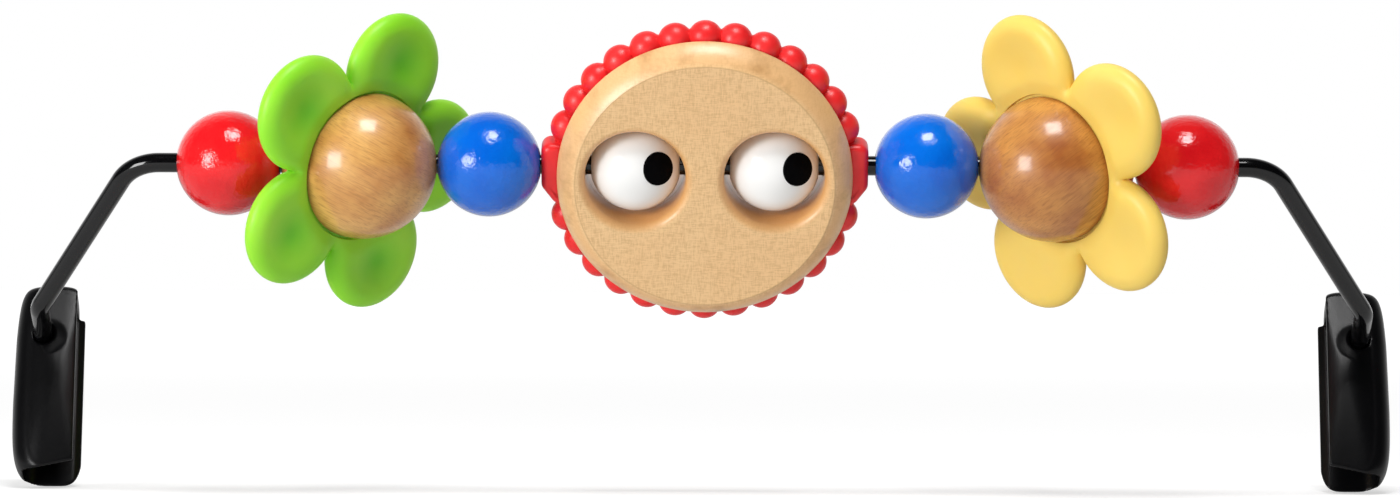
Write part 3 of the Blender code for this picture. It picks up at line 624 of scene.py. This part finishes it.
# Balls
def ball_profile(radius):
    """A ball's outline from pole to pole, with the mouths of its bore broken, closed along the bore."""
    first = atan2(BORE_RADIUS + BORE_CHAMFER, sqrt(radius ** 2 - (BORE_RADIUS + BORE_CHAMFER) ** 2))
    angles = [first + (pi - 2 * first) * i / BALL_RINGS for i in range(BALL_RINGS + 1)]
    outline = [(radius * sin(angle), radius * cos(angle)) for angle in angles]
    inner = outline[0][1] - BORE_CHAMFER
    return [(BORE_RADIUS, inner)] + outline + [(BORE_RADIUS, -inner)]


def ball(radius, centre):
    """A ball bored through along X."""
    place = Matrix.Translation(centre) @ Matrix.Rotation(pi / 2, 4, "Y")
    return placed(turned(ball_profile(radius), BALL_STEPS, loop=True), place)


def make_eye(side, material, pupil_material):
    """A white ball with a black stud let into it."""
    body = "eye_" + side
    centre = CENTRES[body]
    rim = sqrt(EYE_RADIUS ** 2 - PUPIL_RADIUS ** 2)
    base = rim + INLAY_GAP - PUPIL_THICKNESS
    pocket_radius = PUPIL_RADIUS + INLAY_GAP
    pocket = turned([(pocket_radius, base - TOUCH_GAP), (pocket_radius, EYE_RADIUS + OVERRUN)], PUPIL_STEPS)
    mesh = carved(ball(EYE_RADIUS, centre), placed(pocket, pupil_frame(centre)))
    add_piece(body, mesh, body, material)
    widest = atan2(PUPIL_RADIUS, rim)
    profile = [(PUPIL_RADIUS, base)]
    for i in range(PUPIL_RINGS, 0, -1):
        angle = widest * i / PUPIL_RINGS
        profile.append((EYE_RADIUS * sin(angle), PUPIL_PROUD + EYE_RADIUS * cos(angle)))
    stud = placed(turned(profile, PUPIL_STEPS), pupil_frame(centre))
    add_piece("pupil_" + side, stud, body, pupil_material)


# Flowers
def petal_outline(phase):
    """Angle and reach of the petals' outline, all the way round."""
    half_share = pi / PETAL_COUNT
    aside = LOBE_DISTANCE * sin(half_share)
    cleft_reach = LOBE_DISTANCE * cos(half_share) + sqrt(LOBE_RADIUS ** 2 - aside ** 2)
    cleft = Vector((cleft_reach * cos(half_share) - LOBE_DISTANCE, cleft_reach * sin(half_share)))
    widest = atan2(cleft.y, cleft.x)
    outline = []
    for petal in range(PETAL_COUNT):
        for i in range(LOBE_STEPS):
            turn = widest * (2 * i / LOBE_STEPS - 1)
            x = LOBE_DISTANCE + LOBE_RADIUS * cos(turn)
            y = LOBE_RADIUS * sin(turn)
            outline.append((phase + 2 * half_share * petal + atan2(y, x), sqrt(x ** 2 + y ** 2)))
    return np.array(outline)


def distance_to_outline(points, outline_points):
    """How far each point lies from the closed outline."""
    starts = outline_points[None, :, :]
    spans = np.roll(outline_points, -1, axis=0)[None, :, :] - starts
    away = points[:, None, :] - starts
    share = np.clip((away * spans).sum(2) / (spans ** 2).sum(2), 0, 1)
    return np.sqrt(((away - share[:, :, None] * spans) ** 2).sum(2).min(1))


def ease(share):
    """Runs from 0 to 1 with soft ends."""
    share = np.clip(share, 0, 1)
    return share * share * (3 - 2 * share)


def petal_thickness(points, depth, phase):
    """Half the petals' thickness at points that lie that deep inside the outline."""
    radius = np.sqrt((points ** 2).sum(1))
    body = PETAL_COLLAR + (PETAL_EDGE - PETAL_COLLAR) * ease((radius - DOME_RADIUS) / COLLAR_EASE)
    for petal in range(PETAL_COUNT):
        angle = phase + 2 * pi * petal / PETAL_COUNT
        middle = DIMPLE_DISTANCE * np.array((cos(angle), sin(angle)))
        away = ((points - middle) ** 2).sum(1)
        body = body - DIMPLE_DEPTH * np.exp(-away / (2 * DIMPLE_RADIUS ** 2)) * ease(depth / PETAL_ROLL)
    return body * np.sqrt(1 - (1 - np.clip(depth / PETAL_ROLL, 0, 1)) ** 2)


def petals_mesh(phase):
    """Five puffed petals in one moulding, the same on both faces, in the flower's frame."""
    outline = petal_outline(phase)
    angles, reach = outline[:, 0], outline[:, 1]
    heading = np.stack([np.cos(angles), np.sin(angles)], 1)
    edge_points = heading * reach[:, None]
    collar = DOME_RADIUS + DOME_GROOVE
    levels = [(np.full_like(reach, radius), np.full_like(reach, WEB_THICKNESS / 2))
              for radius in (BORE_RADIUS / 2, collar)]
    for level in range(PETAL_LEVELS + 1):
        share = sin(pi / 2 * level / PETAL_LEVELS)
        radius = collar + TOUCH_GAP + (reach - collar - TOUCH_GAP) * share
        points = heading * radius[:, None]
        height = petal_thickness(points, distance_to_outline(points, edge_points), phase)
        levels.append((radius, height if level < PETAL_LEVELS else np.zeros_like(reach)))
    rings = []
    for sign, chosen in ((1, levels), (-1, levels[-2::-1])):
        for radius, height in chosen:
            rings.append([Vector((x * r, y * r, sign * h)) for (x, y), r, h in zip(heading, radius, height)])
    return skin(rings)


def dome_mesh(face):
    """Half a turned ball on one side of the petals, in the flower's frame."""
    rises = [pi / 2 * i / (DOME_RINGS + 0.5) for i in range(DOME_RINGS + 1)]
    outline = [(DOME_RADIUS * cos(rise), DOME_BASE + DOME_RADIUS * sin(rise)) for rise in rises]
    return placed(turned(outline, DOME_STEPS), Matrix.Diagonal((1, 1, face, 1)))


def make_flower(colour, side, phase, petal_values, wood_values):
    """One flower: the petals and a wooden half ball on each side of them.

    petal_values and wood_values are what petal_plastic and dome_wood take after the other arguments.
    """
    body = colour + "_flower"
    centre = CENTRES[body]
    place = flower_frame(side, centre)
    petals = bored(placed(petals_mesh(phase), place), centre)
    plastic = petal_plastic(colour + "_plastic", place, phase, *petal_values)
    wood = dome_wood(colour + "_dome_wood", *wood_values)
    add_piece(colour + "_petals", petals, body, plastic)
    for face, label in ((1, "front"), (-1, "rear")):
        dome = bored(placed(dome_mesh(face), place), centre)
        add_piece(colour + "_dome_" + label, dome, body, wood)


# Head
def head_profile(rim):
    """Half the head's outline: joint face, cove for the beaded ring, rim, rounding and flat face."""
    cove_height = sqrt(COVE_RADIUS ** 2 - (rim - RING_RADIUS) ** 2)
    rim_height = cove_height + RIM_LAND
    start = atan2(TOUCH_GAP / 2, -sqrt(COVE_RADIUS ** 2 - (TOUCH_GAP / 2) ** 2))
    end = atan2(cove_height, rim - RING_RADIUS)
    points = [(BORE_RADIUS / 2, TOUCH_GAP / 2)]
    for i in range(COVE_STEPS + 1):
        angle = start + (end - start) * i / COVE_STEPS
        points.append((RING_RADIUS + COVE_RADIUS * cos(angle), COVE_RADIUS * sin(angle)))
    run = EDGE_WIDTH / (cos(ROUNDING_START) - cos(ROUNDING_END))
    rise = (FACE_HEIGHT - rim_height) / (sin(ROUNDING_END) - sin(ROUNDING_START))
    for i in range(ROUNDING_STEPS + 1):
        angle = ROUNDING_START + (ROUNDING_END - ROUNDING_START) * i / ROUNDING_STEPS
        points.append((rim - run * (cos(ROUNDING_START) - cos(angle)),
                       rim_height + rise * (sin(angle) - sin(ROUNDING_START))))
    points.append((BORE_RADIUS / 2, FACE_HEIGHT))
    return points


def socket_cutter(x):
    """A through hole for one eye, with a soft flare where it meets each face, in the head's frame."""
    low = FACE_HEIGHT - SOCKET_FLARE_DEPTH
    upper = []
    for i in range(FLARE_STEPS + 1):
        angle = pi / 2 * i / FLARE_STEPS
        upper.append((SOCKET_RADIUS + SOCKET_FLARE * (1 - cos(angle)), low + SOCKET_FLARE_DEPTH * sin(angle)))
    upper.append((SOCKET_RADIUS + SOCKET_FLARE, FACE_HEIGHT + OVERRUN))
    profile = [(radius, -height) for radius, height in reversed(upper)] + upper
    return placed(turned(profile, SOCKET_STEPS), Matrix.Translation((x, HEAD_DROP, 0)))


def make_head_half(face, label, rim):
    """One turned wooden half of the head, with half of each eye socket."""
    mesh = placed(turned(head_profile(rim), HEAD_STEPS), Matrix.Diagonal((1, 1, face, 1)))
    for side in (-1, 1):
        mesh = carved(mesh, socket_cutter(side * EYE_SPACING / 2))
    mesh = bored(placed(mesh, head_frame()), CENTRES["head"])
    wood = face_wood(label + "_wood", rim - EDGE_WIDTH)
    add_piece("head_" + label, mesh, "head", wood, HEAD_SHARP_ANGLE)


def ring_sections():
    """Angle round the ring and cord radius there, all the way round."""
    half_row = RING_PITCH * (RING_BUMPS - 1) / 2
    sections = []
    for centre in (pi / 2, 3 * pi / 2):
        for bump in range(RING_BUMPS):
            for step in range(BUMP_STEPS):
                offset = RING_PITCH * (step / BUMP_STEPS - 0.5)
                along = RING_RADIUS * offset
                radius = max(RING_NECK, sqrt(max(0.0, RING_BEAD ** 2 - along ** 2)))
                sections.append((centre - half_row + RING_PITCH * bump + offset, radius))
        start = centre + half_row + RING_PITCH / 2
        gap = pi - 2 * half_row - RING_PITCH
        for step in range(EAR_STEPS):
            sections.append((start + gap * step / EAR_STEPS, RING_NECK))
    return sections


def beaded_cord():
    """The closed ring of bumps, in the head's frame."""
    rings = []
    for angle, radius in ring_sections():
        points = []
        for i in range(RING_SIDES):
            turn = 2 * pi * i / RING_SIDES
            reach = RING_RADIUS + radius * cos(turn)
            points.append(Vector((reach * cos(angle), reach * sin(angle), radius * sin(turn))))
        rings.append(points)
    return skin(rings, loop=True)


def ear_outline():
    """The right ear seen from the front: a block with a narrower foot and rounded corners."""
    corners = [Vector((x, y, 0)) for x, y in (
        (EAR_INNER, -EAR_BOTTOM), (EAR_OUTER - EAR_TAPER, -EAR_BOTTOM),
        (EAR_OUTER, EAR_TAPER_LENGTH - EAR_BOTTOM), (EAR_OUTER, EAR_TOP), (EAR_INNER, EAR_TOP))]
    outline = [corners[0].xy]
    for before, corner, after in zip(corners, corners[1:], corners[2:]):
        outline += [point.xy for point in fillet(before, corner, after, EAR_CORNER, EAR_ROUND_STEPS)]
    outline.append(corners[-1].xy)
    return outline


def make_ring(material):
    """The beaded ring between the two halves, with an ear for the rod at each side."""
    mesh = beaded_cord()
    for side in (-1, 1):
        ear = rounded(prism(ear_outline(), -EAR_DEPTH / 2, EAR_DEPTH / 2), EAR_ROUND, EAR_ROUND_STEPS)
        mesh = carved(mesh, placed(ear, mirror_if(side)), "UNION")
    mesh = bored(placed(mesh, head_frame()), CENTRES["head"])
    add_piece("head_ring", mesh, "head", material, RING_SHARP_ANGLE)


# Materials
def add_node(tree, kind, inputs=None, **settings):
    """A shader node with its settings, and a value or a link for each input that is named."""
    made = tree.nodes.new("ShaderNode" + kind)
    for key, value in settings.items():
        setattr(made, key, value)
    for key, value in (inputs or {}).items():
        if isinstance(value, bpy.types.NodeSocket):
            tree.links.new(value, made.inputs[key])
        else:
            made.inputs[key].default_value = value
    return made


def new_material(name, **values):
    """A material, its node tree and its shader, with plain values on the shader's own sockets."""
    material = bpy.data.materials.new(name)
    material.use_nodes = True
    tree = material.node_tree
    shader = tree.nodes["Principled BSDF"]
    for key, value in values.items():
        shader.inputs[key.replace("_", " ").title().replace("Ior", "IOR")].default_value = value
    return material, tree, shader


def place_in(tree, matrix=Matrix(), scale=(1, 1, 1)):
    """A point's place in a piece's own frame, stretched for a texture."""
    spot = add_node(tree, "TexCoord").outputs["Object"]
    place, turn, _ = matrix.decompose()
    local = add_node(tree, "Mapping", {"Vector": spot, "Location": place, "Rotation": turn.to_euler()},
                     vector_type="TEXTURE")
    return add_node(tree, "Mapping", {"Vector": local.outputs[0], "Scale": scale},
                    vector_type="POINT").outputs[0]


def noise(tree, spot, scale, detail=2.0, roughness=0.5):
    """A soft random pattern from 0 to 1."""
    return add_node(tree, "TexNoise", {"Vector": spot, "Scale": scale, "Detail": detail,
                                       "Roughness": roughness}).outputs["Fac"]


def ranged(tree, value, low, high, to_low, to_high):
    """A value taken from one range to another."""
    return add_node(tree, "MapRange", {"Value": value, "From Min": low, "From Max": high,
                                       "To Min": to_low, "To Max": to_high}).outputs["Result"]


def spread(tree, value, low, high):
    """A noise's usual range taken to another."""
    return ranged(tree, value, NOISE_LOW, NOISE_HIGH, low, high)


def blended(tree, share, first, second):
    """Two colours mixed by a share."""
    return add_node(tree, "Mix", {0: share, 6: first, 7: second}, data_type="RGBA").outputs[2]


def computed(tree, operation, first, second=0.0):
    """One sum on two values."""
    return add_node(tree, "Math", {0: first, 1: second}, operation=operation).outputs[0]


def dress(tree, shader, colour, roughness, heights):
    """Gives the shader its colour, its roughness and the normal of stacked bumps.

    heights holds a height, a strength and a depth in metres for each bump.
    """
    normal = None
    for height, strength, depth in heights:
        inputs = {"Height": height, "Strength": strength, "Distance": depth}
        if normal is not None:
            inputs["Normal"] = normal
        normal = add_node(tree, "Bump", inputs).outputs[0]
    for key, value in (("Base Color", colour), ("Roughness", roughness), ("Normal", normal)):
        tree.links.new(value, shader.inputs[key])
    return normal


def gloss_paint(name, colour, deep):
    """Brushed gloss paint over a turned bead: slightly uneven, so that highlights break up."""
    material, tree, shader = new_material(name, coat_weight=1.0, coat_roughness=0.11, specular_ior_level=0.1)
    spot = place_in(tree)
    cloudy = ranged(tree, noise(tree, spot, 85.0, 3.0), 0.35, 0.65, 0.0, 1.0)
    uneven = noise(tree, spot, 620.0)
    fine = noise(tree, spot, 1900.0)
    ripple = dress(tree, shader, blended(tree, cloudy, colour, deep), spread(tree, fine, 0.12, 0.24),
                   [(uneven, 0.80, 0.00022), (fine, 0.60, 0.00006)])
    tree.links.new(ripple, shader.inputs["Coat Normal"])
    return material


def petal_plastic(name, place, phase, light, deep, hollow_shade, reach, let_in):
    """Soft satin plastic that lets a little light in, with painted shade that deepens the colour in the
    hollows.
    """
    material, tree, shader = new_material(name, subsurface_weight=let_in, subsurface_scale=0.006,
                                          subsurface_radius=reach, specular_ior_level=0.35)
    spot = place_in(tree, place)
    cloudy = spread(tree, noise(tree, spot, 28.0), 0.0, 1.0)
    base = blended(tree, cloudy, light, deep)
    nearest = DOME_RADIUS
    for petal in range(PETAL_COUNT):
        angle = phase + 2 * pi * petal / PETAL_COUNT
        near = distance_from(tree, spot, DIMPLE_DISTANCE * cos(angle), DIMPLE_DISTANCE * sin(angle))
        nearest = computed(tree, "MINIMUM", near, nearest)
    # Painted shade: the colour deepens towards the middle of each petal's hollow
    core, edge = DIMPLE_SHADE_CORE_SHARE * DIMPLE_RADIUS, DIMPLE_SHADE_FADE_SHARE * DIMPLE_RADIUS
    base = blended(tree, ranged(tree, nearest, core, edge, 0.6, 0.0), base, hollow_shade)
    fine = noise(tree, spot, 1700.0, 3.0)
    dress(tree, shader, base, spread(tree, fine, 0.34, 0.44),
          [(noise(tree, spot, 70.0), 0.10, 0.0008), (fine, 0.15, 0.00003)])
    return material


def dome_wood(name, light, dark, line, slope, bend):
    """Varnished wood: soft colour clouds, curved year rings and short fine fibres along one slope."""
    material, tree, shader = new_material(name, coat_weight=0.7, coat_roughness=0.16)
    lie = Matrix.Translation(ROD_MIDDLE) @ Matrix.Rotation(slope, 4, "Y")
    spot = place_in(tree, lie)
    along = place_in(tree, lie, FIBRES)
    clouds = ranged(tree, noise(tree, spot, 70.0, 3.0), 0.32, 0.68, 0.0, 1.0)
    base = blended(tree, clouds, light, dark)
    waves = {"Vector": spot, "Scale": YEAR_RINGS, "Distortion": bend, "Detail": 2.0, "Detail Scale": 0.8,
             "Detail Roughness": 0.5}
    years = add_node(tree, "TexWave", waves, wave_type="BANDS", bands_direction="Z",
                     wave_profile="SAW").outputs["Fac"]
    base = blended(tree, ranged(tree, years, 0.25, 1.0, 0.0, 0.10), base, line)
    fibres = noise(tree, along, 1.0, 3.0, 0.6)
    base = blended(tree, ranged(tree, fibres, 0.48, 0.74, 0.0, 0.50), base, line)
    dress(tree, shader, base, ranged(tree, fibres, 0.3, 0.8, 0.34, 0.50),
          [(fibres, 0.10, 0.00004), (noise(tree, spot, 420.0), 0.10, 0.00008)])
    return material


def distance_from(tree, spot, x, y):
    """How far a point lies from a line along Z."""
    flat = add_node(tree, "VectorMath", {0: spot, 1: (1, 1, 0)}, operation="MULTIPLY").outputs[0]
    away = add_node(tree, "VectorMath", {0: flat, 1: (x, y, 0)}, operation="DISTANCE")
    return away.outputs["Value"]


def face_wood(name, crease_radius):
    """Pale maple with a fine crossed grain, golden where it is turned round at the rim and the sockets, with
    a painted shade line along the crease.
    """
    pale, deep, golden = rgb(241, 202, 147), rgb(212, 167, 112), rgb(236, 184, 124)
    lip_colour, streak, crease_shade_colour = rgb(224, 162, 92), rgb(186, 134, 76), rgb(190, 146, 92)
    material, tree, shader = new_material(name, coat_weight=0.7, coat_roughness=0.28)
    spot = place_in(tree, head_frame())
    upright = noise(tree, place_in(tree, head_frame(), UPRIGHT_WEAVE), 1.0, 2.0, 0.6)
    level = noise(tree, place_in(tree, head_frame(), LEVEL_WEAVE), 1.0, 2.0, 0.6)
    weave = computed(tree, "MULTIPLY", computed(tree, "ADD", upright, level), 0.5)
    clouds = noise(tree, spot, 45.0, 3.0)
    base = blended(tree, spread(tree, clouds, 0.0, 0.35), pale, golden)
    base = blended(tree, ranged(tree, weave, 0.44, 0.62, 0.0, 0.80), base, deep)
    rim = distance_from(tree, spot, 0, 0)
    on_rim = ranged(tree, rim, crease_radius, crease_radius + RIM_FADE_SHARE * EDGE_WIDTH, 0.0, 1.0)
    base = blended(tree, computed(tree, "MULTIPLY", on_rim, 0.7), base, golden)
    streaks = noise(tree, place_in(tree, head_frame(), RIM_STREAKS), 1.0, 4.0, 0.65)
    streaked = computed(tree, "MULTIPLY", on_rim, ranged(tree, streaks, 0.5, 0.72, 0.0, 0.75))
    base = blended(tree, streaked, base, streak)
    mouth = SOCKET_RADIUS + SOCKET_FLARE
    for side in (-1, 1):
        near = distance_from(tree, spot, side * EYE_SPACING / 2, HEAD_DROP)
        lip = ranged(tree, near, mouth - LIP_FADE, mouth - LIP_WIDTH, 0.0, 0.85)
        base = blended(tree, lip, base, lip_colour)
    # Painted shade: a darker line along the crease between the flat face and its rounding
    off_crease = computed(tree, "ABSOLUTE", computed(tree, "SUBTRACT", rim, crease_radius))
    crease_shade = ranged(tree, off_crease, CREASE_WIDTH, CREASE_FADE, 0.50, 0.0)
    base = blended(tree, crease_shade, base, crease_shade_colour)
    dress(tree, shader, base, spread(tree, weave, 0.42, 0.58), [(weave, 0.18, 0.00005)])
    return material


def ring_plastic():
    """Satin red moulded plastic, paler here and there where it is worn."""
    material, tree, shader = new_material("ring_plastic", subsurface_weight=0.15, subsurface_scale=0.002,
                                          subsurface_radius=(1.0, 0.25, 0.2))
    spot = place_in(tree, head_frame())
    worn = ranged(tree, noise(tree, spot, 160.0), 0.35, 0.7, 0.0, 1.0)
    fine = noise(tree, spot, 1500.0, 3.0)
    dress(tree, shader, blended(tree, worn, rgb(234, 30, 33), rgb(242, 46, 47)),
          spread(tree, fine, 0.30, 0.42), [(fine, 0.2, 0.00004)])
    return material


def plain_finish(name, colours, clouds, grain, roughness, relief, strength, depth, **values):
    """One colour that wanders between two, with a grain in its gloss and a bump of its own.

    clouds, grain and relief are a noise's scale and detail, and roughness the range that the grain covers.
    """
    material, tree, shader = new_material(name, **values)
    spot = place_in(tree)
    dress(tree, shader, blended(tree, noise(tree, spot, *clouds), *colours),
          spread(tree, noise(tree, spot, *grain), *roughness),
          [(noise(tree, spot, *relief), strength, depth)])
    return material


def clip_plastic():
    """Satin black plastic with a fine spark-eroded grain."""
    return plain_finish("clip_plastic", (rgb(3, 3, 4), rgb(9, 9, 11)), (120.0, 3.0), (2300.0, 3.0),
                        (0.29, 0.38), (2300.0, 3.0), 0.22, 0.00005, specular_ior_level=0.24)


def rod_coating():
    """Gloss black powder coat on steel, with its faint ripple."""
    return plain_finish("rod_coating", (rgb(4, 4, 5), rgb(10, 10, 12)), (420.0, 2.0), (1500.0, 2.0),
                        (0.16, 0.30), (420.0, 2.0), 0.12, 0.00006,
                        coat_weight=0.9, coat_roughness=0.08, specular_ior_level=0.05)


def eye_white():
    """Glossy white lacquer."""
    return plain_finish("eye_white", (rgb(243, 243, 241), rgb(249, 249, 248)), (90.0, 2.0), (900.0, 2.0),
                        (0.14, 0.24), (500.0, 2.0), 0.08, 0.00005, specular_ior_level=0.4)


def pupil_black():
    """Dull black plastic."""
    return plain_finish("pupil_black", (rgb(2, 2, 3), rgb(7, 7, 8)), (400.0, 2.0), (1200.0, 2.0),
                        (0.5, 0.65), (1200.0, 2.0), 0.1, 0.00003, specular_ior_level=0.03)


# Stage
def make_floor():
    """A plain pale floor that the camera sees as white but for the object's shadow."""
    shape = bmesh.new()
    bmesh.ops.create_grid(shape, x_segments=2, y_segments=2, size=FLOOR_SIZE / 2)
    mesh = bpy.data.meshes.new("floor")
    shape.to_mesh(mesh)
    shape.free()
    floor = add_object("floor", mesh)
    floor.location.z = cad_box[0].z - FLOOR_GAP
    material, tree, shader = new_material("floor", base_color=(FLOOR_GREY, FLOOR_GREY, FLOOR_GREY, 1),
                                          roughness=1.0, specular_ior_level=0.0,
                                          emission_color=(1, 1, 1, 1))
    seen = add_node(tree, "LightPath").outputs["Is Camera Ray"]
    glow = ranged(tree, distance_from(tree, place_in(tree), 0, 0), 0.0, FAR_AWAY, FLOOR_GLOW, FAR_GLOW)
    tree.links.new(computed(tree, "MULTIPLY", seen, glow), shader.inputs["Emission Strength"])
    mesh.materials.append(material)


def make_room():
    """A room: white to the camera, brighter on the left and at the back, dim in glosses from the front."""
    world = bpy.data.worlds.new("room")
    bpy.context.scene.world = world
    world.use_nodes = True
    tree = world.node_tree
    path = add_node(tree, "LightPath")
    toward = add_node(tree, "TexCoord").outputs["Generated"]
    depth = add_node(tree, "SeparateXYZ", {0: toward}).outputs["Y"]
    mirror = ranged(tree, depth, BACK_START, 1.0, FRONT_MIRROR, BACK_MIRROR)
    lean = add_node(tree, "VectorMath", {0: toward, 1: AMBIENT_LEAN}, operation="DOT_PRODUCT")
    ambient = ranged(tree, lean.outputs["Value"], -1.0, 1.0, 0.0, 2 * AMBIENT)
    seen = computed(tree, "MAXIMUM", path.outputs["Is Camera Ray"], path.outputs["Is Transmission Ray"])
    mirrored = computed(tree, "MULTIPLY", path.outputs["Is Glossy Ray"], mirror)
    bright = computed(tree, "MAXIMUM", seen, mirrored)
    other = computed(tree, "SUBTRACT", 1.0, computed(tree, "MAXIMUM", seen, path.outputs["Is Glossy Ray"]))
    strength = computed(tree, "ADD", bright, computed(tree, "MULTIPLY", other, ambient))
    background = tree.nodes["Background"]
    background.inputs["Color"].default_value = (1, 1, 1, 1)
    tree.links.new(strength, background.inputs["Strength"])


def add_soft_box(name, azimuth, elevation, size, power):
    """A square soft box that looks at the middle of the toys."""
    light = bpy.data.lights.new(name, "AREA")
    light.shape = "SQUARE"
    light.size = size
    light.energy = power
    lamp = add_object(name, light)
    toward = Vector((sin(azimuth) * cos(elevation), -cos(azimuth) * cos(elevation), sin(elevation)))
    lamp.location = ROD_MIDDLE + LAMP_DISTANCE * toward
    lamp.rotation_euler = toward.to_track_quat("Z", "Y").to_euler()


def make_camera():
    """The camera that took the photograph: square on, a little below the rod, turned by a hair."""
    camera = bpy.data.cameras.new("camera")
    camera.sensor_width = SENSOR_WIDTH
    camera.lens = SENSOR_WIDTH * CAMERA_DISTANCE * 1000 * PIXELS_PER_MM / PHOTO_WIDTH
    view = add_object("camera", camera)
    view.location = ROD_MIDDLE + Vector((CAMERA_SHIFT, -CAMERA_DISTANCE, -CAMERA_DROP))
    view.rotation_euler = (pi / 2, CAMERA_ROLL, 0)
    bpy.context.scene.camera = view


def make_toys():
    """Every toy on the rod."""
    red = gloss_paint("red_paint", rgb(236, 30, 34), rgb(222, 18, 27))
    blue = gloss_paint("blue_paint", rgb(0, 108, 218), rgb(0, 96, 208))
    for colour, paint, side in (("red", red, "left"), ("blue", blue, "left"),
                                ("blue", blue, "right"), ("red", red, "right")):
        body = colour + "_bead_" + side
        add_piece(body, ball(BEAD_RADIUS, CENTRES[body]), body, paint)
    # The third petal colour in each flower is the painted shade in the petals' hollows
    make_flower("green", 1, GREEN_PHASE,
                (rgb(168, 231, 66), rgb(138, 222, 40), rgb(76, 198, 16), (1.0, 0.7, 0.2), 0.55),
                (rgb(228, 174, 98), rgb(190, 122, 56), rgb(140, 80, 38), radians(27), 6.0))
    make_flower("yellow", -1, YELLOW_PHASE,
                (rgb(244, 212, 110), rgb(242, 206, 98), rgb(240, 200, 84), (1.0, 0.6, 0.2), 0.20),
                (rgb(212, 148, 70), rgb(164, 92, 36), rgb(120, 60, 22), radians(-38), 9.0))
    make_head_half(1, "front", HEAD_RADIUS)
    make_head_half(-1, "rear", HEAD_RADIUS - REAR_INSET)
    make_ring(ring_plastic())
    white = eye_white()
    black = pupil_black()
    for side in ("left", "right"):
        make_eye(side, white, black)


bpy.context.scene.view_settings.view_transform = "Standard"
make_camera()
make_rod(rod_coating())
black_plastic = clip_plastic()
make_clip(-1, "clip_left", black_plastic)
make_clip(1, "clip_right", black_plastic)
make_toys()
make_room()
make_floor()
for lamp_values in LAMPS:
    add_soft_box(*lamp_values)
